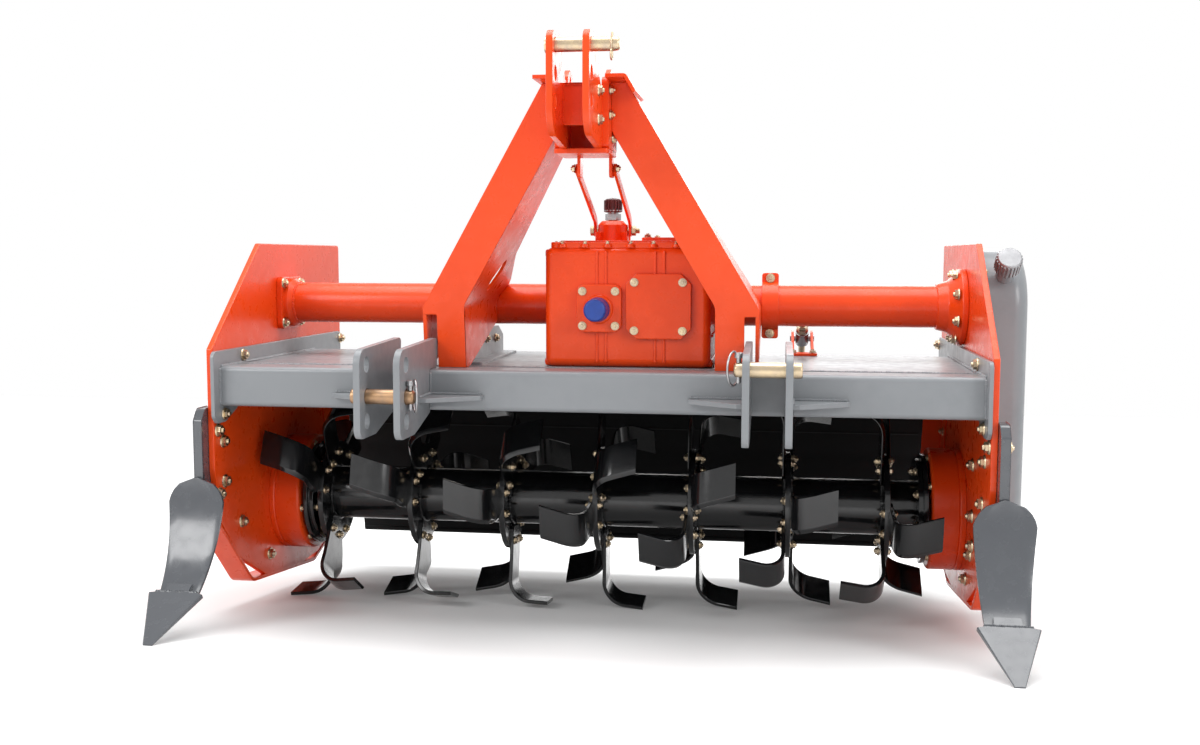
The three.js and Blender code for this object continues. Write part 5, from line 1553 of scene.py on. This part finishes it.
def mast_leg(sign):
    """A folded channel: a front face, an outer wall that deepens towards the axle tube, an inner one."""
    outer, inner, inner_knee = leg_edges()
    foot_front = BEAM_LOW.y + 53
    foot_z = BEAM_HIGH.z + GAP
    top_front = foot_front - 60

    def front_y(z):
        return foot_front + (top_front - foot_front) * (z - foot_z) / (LEG_TOP - foot_z)

    parts = []
    top_inner = KNEE + LEG_RISE * (LEG_FOOT - LEG_WIDTH / math.sin(LEG_SLOPE) - CHEEK - GAP)
    slot_x = HITCH_HALF - HITCH_GAP / 2 - HITCH_PLATE - 3
    face = [
        (LEG_FOOT - 84, foot_z, 0),
        (slot_x, foot_z, 0),
        (slot_x, 424, 3),
        (LEG_FOOT - LEG_WALL, 424, 0),
        (LEG_FOOT, 424, 0),
        (LEG_FOOT, KNEE, 12),
        (outer(LEG_TOP), LEG_TOP, 6),
        (CHEEK + GAP, LEG_TOP, 0),
        (CHEEK + GAP, top_inner, 10),
        (LEG_FOOT - 84, inner_knee, 30),
    ]
    front = plate(softened(face, 0, steps=6), 0, LEG_WALL, "y", edge=1.4)
    lean = Matrix.Identity(4)
    lean[1][2] = (top_front - foot_front) / (LEG_TOP - foot_z)
    parts.append(placed(front, shift(z=-foot_z), lean, shift(0, foot_front, foot_z)))
    side_outline = [
        (foot_front, foot_z),
        (foot_front + 34, foot_z),
        (-60, 392),
        (-6, TUBE_Z - 26),
        (-6, TUBE_Z + 46),
        (-120, 544),
        (-206, 755),
        (top_front + 130, LEG_TOP),
    ]
    parts.append(wall(side_outline, outer, -1, front_y, foot_z))
    back_from = foot_z if sign < 0 else HOUSING_HIGH.z + 40
    inside = wall(side_outline, inner, 1, front_y, back_from)
    if back_from < LEG_HOLE[1]:
        inside = carved(inside, plate(leg_hole(), 100, LEG_FOOT - 40, "x", edge=0))
    parts.append(inside)
    return joined(*parts)


def carved(mesh, tool):
    """A mesh less another one."""
    obj, cutter = shown("carved", mesh), shown("cutter", tool)
    cut = obj.modifiers.new("cut", "BOOLEAN")
    cut.operation = "DIFFERENCE"
    cut.solver = "EXACT"
    cut.object = cutter
    made = evaluated(obj)
    bpy.data.objects.remove(cutter)
    bpy.data.meshes.remove(tool)
    return made


def leg_hole():
    """The outline in (y, z) of the slot with round ends through a leg's inner wall."""
    turn = Matrix.Rotation(math.radians(LEG_HOLE_TILT), 2)
    half, radius = LEG_HOLE_SIZE
    ends = ((half - radius, -90), (radius - half, 90))
    points = [
        Vector(polar(radius, a, u))
        for u, first in ends
        for a in arc_steps(first, first + 180, 10)
    ]
    return [Vector(LEG_HOLE) + turn @ point for point in points]


def wall(outline, edge_at, inward, front_y, from_z):
    """One side wall of a leg: it follows an edge in x and reaches back as the outline says."""
    heights = [from_z + (LEG_TOP - from_z) * k / 48 for k in range(49)]
    rings = []
    for z in heights:
        back = max(reach_back(outline, z), front_y(z) + LEG_WALL + 4)
        x = edge_at(z)
        other = x + inward * LEG_WALL
        cut_front = front_y(z) + 1.0
        ease = 1.2
        ring = [
            (x, cut_front, z),
            (x, back - ease, z),
            (x + inward * ease, back, z),
            (other - inward * ease, back, z),
            (other, back - ease, z),
            (other, cut_front, z),
        ]
        rings.append(ring)
    return loft(rings)


def reach_back(outline, z):
    """How far back the side outline reaches at a height, before the axle tube's room."""
    found = [outline[1][0]]
    for (y0, z0), (y1, z1) in zip(outline[1:], outline[2:]):
        if min(z0, z1) <= z <= max(z0, z1) and z0 != z1:
            found.append(y0 + (y1 - y0) * (z - z0) / (z1 - z0))
    back = max(found)
    room = TUBE_RADIUS + 1
    if abs(z - TUBE_Z) < room:
        back = min(back, -math.sqrt(room**2 - (z - TUBE_Z) ** 2))
    return back


def mast_legs():
    for side, sign in SIDES:
        mesh = mast_leg(sign)
        if sign < 0:
            mesh = placed(mesh, mirror())
        mesh = placed(mesh, shift(HITCH_X))
        stand_in(f"mast_leg_{side}", [mesh], ORANGE)


CAP_TOP = LEG_TOP + 7.3
CAP_END = 86.0
FLAP_DROP = 32.0
STAY_ACROSS = 37.0
STAY_HALF = 3.0
CLAMP_WIDTH = 36.0
CLAMP_EAR = 14.0


def mast_head():
    back, front = -300.0, -462.0
    top, bottom = 852.0, 738.0
    half = LUG_GAP / 2 + LUG_THICKNESS - 1
    gap_half = LUG_GAP / 2 + 1
    parts = [
        plate(slotted(-gap_half, gap_half, 776, top, 4), front, front + 10, "y", edge=1.0),
        plate(slotted(-gap_half, gap_half, front, back, 4), top - 8, top, "z", edge=1.0),
        plate(slotted(-CHEEK, CHEEK, bottom, top, 6), back - 10, back, "y", edge=1.2),
        plate(slotted(-CHEEK, CHEEK, back - 120, back, 6), bottom - 9, bottom, "z", edge=1.2),
    ]
    for _, sign in SIDES:
        x0, x1 = sorted((sign * half, sign * CHEEK))
        cheek = [(-412, bottom, 8), (back, bottom, 4), (back, top + 18, 14), (-412, top + 18, 14)]
        parts.append(plate(softened(cheek, 0), x0, x1, "x", edge=1.3))
        ear = [
            (back - 60, top - 6, 0),
            (back - 2, top - 6, 0),
            (back - 2, top + 34, 8),
            (back - 30, top + 42, 10),
            (back - 56, top + 26, 10),
        ]
        x = sign * 40
        hole = circle(back - 28, top + 22, 7, 24)
        parts.append(plate(softened(ear, 0), x - 5, x + 5, "x", [hole], 1.0))
        inside = SHAFT_X + 2 - HITCH_X + sign * (STAY_ACROSS - STAY_HALF - GAP)
        tab = sorted((inside, inside - sign * 6))
        parts.append(plate(slotted(back - 34, back, 690, bottom - 1, 8), *tab, "x", edge=0.8))
        # A plate caps each leg, and the right one turns down over the leg's outer wall.
        line = [(CHEEK - 3, CAP_TOP), (CAP_END, CAP_TOP, 10)]
        if sign > 0:
            line.append((CAP_END + FLAP_DROP / LEG_RISE, CAP_TOP - FLAP_DROP))
        cap = plate(thick_line(line, 7, 8), -446, back - 10, "y", edge=1.2)
        parts.append(placed(cap, mirror()) if sign < 0 else cap)
        parts.append(placed(lug(), mirror()) if sign < 0 else lug())
    stand_in("mast_head", [placed(joined(*parts), shift(HITCH_X))], ORANGE)
    for _, sign in SIDES:
        for y, z in ((-430, 800), (-430, 846), (-390, 760)):
            bolt("mast_bolts", (HITCH_X + sign * (CHEEK + 1), y + 30, z), (sign, 0, 0), 0.9)
        for y, z in ((-452, 838), (-452, 786)):
            bolt("mast_bolts", (HITCH_X + sign * (LUG_GAP / 2 + LUG_THICKNESS), y, z), (sign, 0, 0), 1.0)
    top_pin()


def lug():
    outline = softened(
        [
            (HITCH_FRONT, 776, 46),
            (HITCH_FRONT, TOP_PIN.z + 24, 24),
            (-488, TOP_PIN.z + 24, 26),
            (-440, 862, 20),
            (-404, 840, 6),
            (-404, 738, 6),
            (-436, 738, 10),
            (HITCH_FRONT + 26, 750, 40),
        ],
        6,
        steps=9,
    )
    holes = [circle(TOP_PIN.y, TOP_PIN.z - 48 * k, 13, 32) for k in range(3)]
    return plate(outline, LUG_GAP / 2, LUG_GAP / 2 + LUG_THICKNESS, "x", holes, 1.4)


def top_pin():
    """The top link pin with its stepped head and an R-clip through its end."""
    x0, x1 = TOP_PIN_LOW.x, TOP_PIN_HIGH.x
    length = x1 - x0
    head = [(0, 0), (0, 14.2), (6, 15), (6, 12.5)]
    nose = [(length - 10, 12.5), (length - 3, 11.4), (length, 9), (length, 0)]
    parts = [lathe(eased(head + nose, 1.0), (x0, TOP_PIN.y, TOP_PIN.z), (1, 0, 0), 48)]
    x = x1 - 14
    z = TOP_PIN.z
    clip = [(x, TOP_PIN.y, z + 20), (x, TOP_PIN.y, z - 17)]
    clip += [(x, TOP_PIN.y - 9 + 9 * math.cos(a), z - 19 - 9 * math.sin(a)) for a in arc_steps(0, 250, 16)]
    clip += [(x, TOP_PIN.y - 13, z - 8), (x, TOP_PIN.y - 14.5, z + 2), (x, TOP_PIN.y - 12.5, z + 10)]
    parts.append(wire(clip, 1.9))
    stand_in("top_link_pin", parts, ZINC)


def stays():
    bolt_y, bolt_z = -60.0, HOUSING_HIGH.z + 36
    line = [(bolt_y - 9, bolt_z - 12), (bolt_y - 9, bolt_z + 14, 20), (-322, 700)]
    for side, sign in SIDES:
        x = SHAFT_X + 2 + sign * STAY_ACROSS
        hole = circle(bolt_y, bolt_z, 6.3, 24)
        strap = plate(thick_line(line, 18, 18), x - STAY_HALF, x + STAY_HALF, "x", [hole], 0.9)
        stand_in(f"mast_stay_{side}", [strap], ORANGE)
    low = SHAFT_X + 2 - STAY_ACROSS - STAY_HALF
    high = SHAFT_X + 2 + STAY_ACROSS + STAY_HALF
    parts = [
        rod(6, (low - 6, bolt_y, bolt_z), (high + 4, bolt_y, bolt_z)),
        hexagon_nut((low - 8.5, bolt_y, bolt_z), (1, 0, 0), 18, 8),
        hexagon_nut((high + 0.5, bolt_y, bolt_z), (1, 0, 0), 18, 9),
        thread(6, (high + 3, bolt_y, bolt_z), (1, 0, 0), 16, 1.8),
    ]
    stand_in("mast_stay_bolt", parts, ZINC)
    for x, aim in ((high + 0.4, 1), (low - 0.4, -1)):
        bolt("mast_bolts", (x, -318, 708), (aim, 0, 0), 0.8)


def tube_clamps():
    for side, sign in SIDES:
        x0 = HITCH_X + sign * (LEG_FOOT + GAP)
        x1 = HITCH_X + sign * (LEG_FOOT + CLAMP_WIDTH)
        low, high = sorted((x0, x1))
        band = sleeve(TUBE_RADIUS + GAP, TUBE_RADIUS + 8, (low, 0, TUBE_Z), (high, 0, TUBE_Z), 1.2, 64)
        parts = [band]
        middle = (low + high) / 2
        for up in (-1, 1):
            ear_z = TUBE_Z + up * (TUBE_RADIUS + 12)
            for face in (-1, 1):
                ear = slotted(low, high, ear_z - CLAMP_EAR, ear_z + CLAMP_EAR, 6)
                y0, y1 = sorted((face * 2, face * 11))
                parts.append(plate(ear, y0, y1, "y", edge=1.2))
                bolt("clamp_bolts", (middle, face * 11.5, ear_z + up * 3), (0, face, 0), 0.9)
        stand_in(f"tube_clamp_{side}", parts, ORANGE)


# ---- Putting it together --------------------------------------------------------------------

sides()
beam()
deck()
trailing_board()
support_rods()
axle_tubes()
gearbox()
gear_case()
rotor()
drums()
shovels()
hitch_plates()
mast_legs()
mast_head()
stays()
tube_clamps()
for group in list(bolt_places):
    make_bolts(group, ZINC, "rotor" if group == "rotor_bolts" else "frame")
for group, finish in (("frame_welds", GREY), ("orange_welds", ORANGE), ("shovel_welds", SLATE)):
    make_welds(group, finish)


# ---- Floor, light and camera ----------------------------------------------------------------

CAMERA_PLACE = Vector((359.6, -2712.8, 537.5))
CAMERA_YAW = 0.1417
CAMERA_PITCH = -0.0926
CAMERA_ROLL = 0.0018
CAMERA_LENS = 37.24
FLOOR_LIFT = (0.06, 0.58)
FLOOR_REACH = (0.45, 1.3)
FLOOR_ASPECT = (0.62, 1.0, 0.0)


def seen_or_mirrored(tree):
    """1 for what the camera sees directly, in a mirror or through glass, and 0 for light on the object."""
    path = tree.nodes.new("ShaderNodeLightPath")
    total = path.outputs["Is Camera Ray"]
    for ray in ("Is Glossy Ray", "Is Transmission Ray"):
        total = math_on(tree, "MAXIMUM", total, path.outputs[ray])
    return total


def choose_shader(tree, plain, seen, output):
    """Gives a surface one shader for the light it throws and another for how it is seen."""
    inputs = {0: seen_or_mirrored(tree), 1: plain.outputs[0], 2: seen.outputs[0]}
    choose = node_on(tree, "ShaderNodeMixShader", inputs)
    tree.links.new(choose.outputs[0], tree.nodes[output].inputs["Surface"])


def glow_with_painted_shade(tree):
    """How much the floor glows: little under the machine, more out beyond it, which paints shade on the
    floor round the machine.
    """
    inputs = {0: tree.nodes.new("ShaderNodeTexCoord").outputs["Object"], 1: FLOOR_ASPECT}
    flattened = node_on(tree, "ShaderNodeVectorMath", inputs, operation="MULTIPLY")
    distance = node_on(tree, "ShaderNodeVectorMath", {0: flattened.outputs[0]}, operation="LENGTH")
    return ramp_on(tree, distance.outputs["Value"], *FLOOR_LIFT, *FLOOR_REACH)


def floor():
    bm = bmesh.new()
    bmesh.ops.create_grid(bm, x_segments=1, y_segments=1, size=60)
    plane = shown("floor", mesh_from(bm))
    material, tree, shader = nodes_of("pale_floor")
    values = {"Base Color": (0.82, 0.82, 0.82, 1), "Roughness": 0.6}
    finished(material, tree, shader, [(noise_on(tree, 30.0), 0.02, 0.001)], values)
    # The floor glows less near the machine: painted shade round it, on top of its real shadow.
    lift = node_on(tree, "ShaderNodeEmission", {"Strength": glow_with_painted_shade(tree)})
    add = node_on(tree, "ShaderNodeAddShader", {0: shader.outputs[0], 1: lift.outputs[0]})
    choose_shader(tree, shader, add, "Material Output")
    plane.data.materials.append(material)


def sky():
    world = bpy.data.worlds.new("studio")
    bpy.context.scene.world = world
    world.use_nodes = True
    tree = world.node_tree
    soft = tree.nodes["Background"]
    soft.inputs["Color"].default_value = (1, 1, 1, 1)
    soft.inputs["Strength"].default_value = 0.5
    white = node_on(tree, "ShaderNodeBackground", {"Color": (1, 1, 1, 1), "Strength": 1.0})
    choose_shader(tree, soft, white, "World Output")


def softbox(name, place, target, width, height, power):
    data = bpy.data.lights.new(name, "AREA")
    data.shape = "RECTANGLE"
    data.size, data.size_y = width, height
    data.energy = power
    lamp = shown(name, data)
    lamp.location = place
    lamp.rotation_euler = (Vector(target) - Vector(place)).to_track_quat("-Z", "Y").to_euler()


def studio():
    floor()
    sky()
    softbox("overhead", (0, -0.4, 3.6), (0, 0, 0.3), 3.6, 2.6, 130)
    softbox("front_left", (-2.6, -3.2, 2.2), (0, 0, 0.5), 1.8, 1.8, 70)
    softbox("front_right", (3.0, -2.6, 1.8), (0, 0, 0.5), 1.4, 1.8, 50)
    softbox("behind", (0.6, 3.4, 2.4), (0, 0, 0.5), 3.0, 1.6, 45)


def camera():
    data = bpy.data.cameras.new("camera")
    data.lens = CAMERA_LENS
    data.sensor_width = 36
    eye = shown("camera", data)
    aim = (
        Matrix.Rotation(CAMERA_YAW, 4, "Z")
        @ Matrix.Rotation(math.pi / 2 + CAMERA_PITCH, 4, "X")
        @ Matrix.Rotation(CAMERA_ROLL, 4, "Z")
    )
    place = MACHINE @ CAMERA_PLACE
    eye.matrix_world = Matrix.Translation(place) @ TILT @ aim
    bpy.context.scene.camera = eye


studio()
camera()
bpy.context.scene.view_settings.view_transform = "Standard"
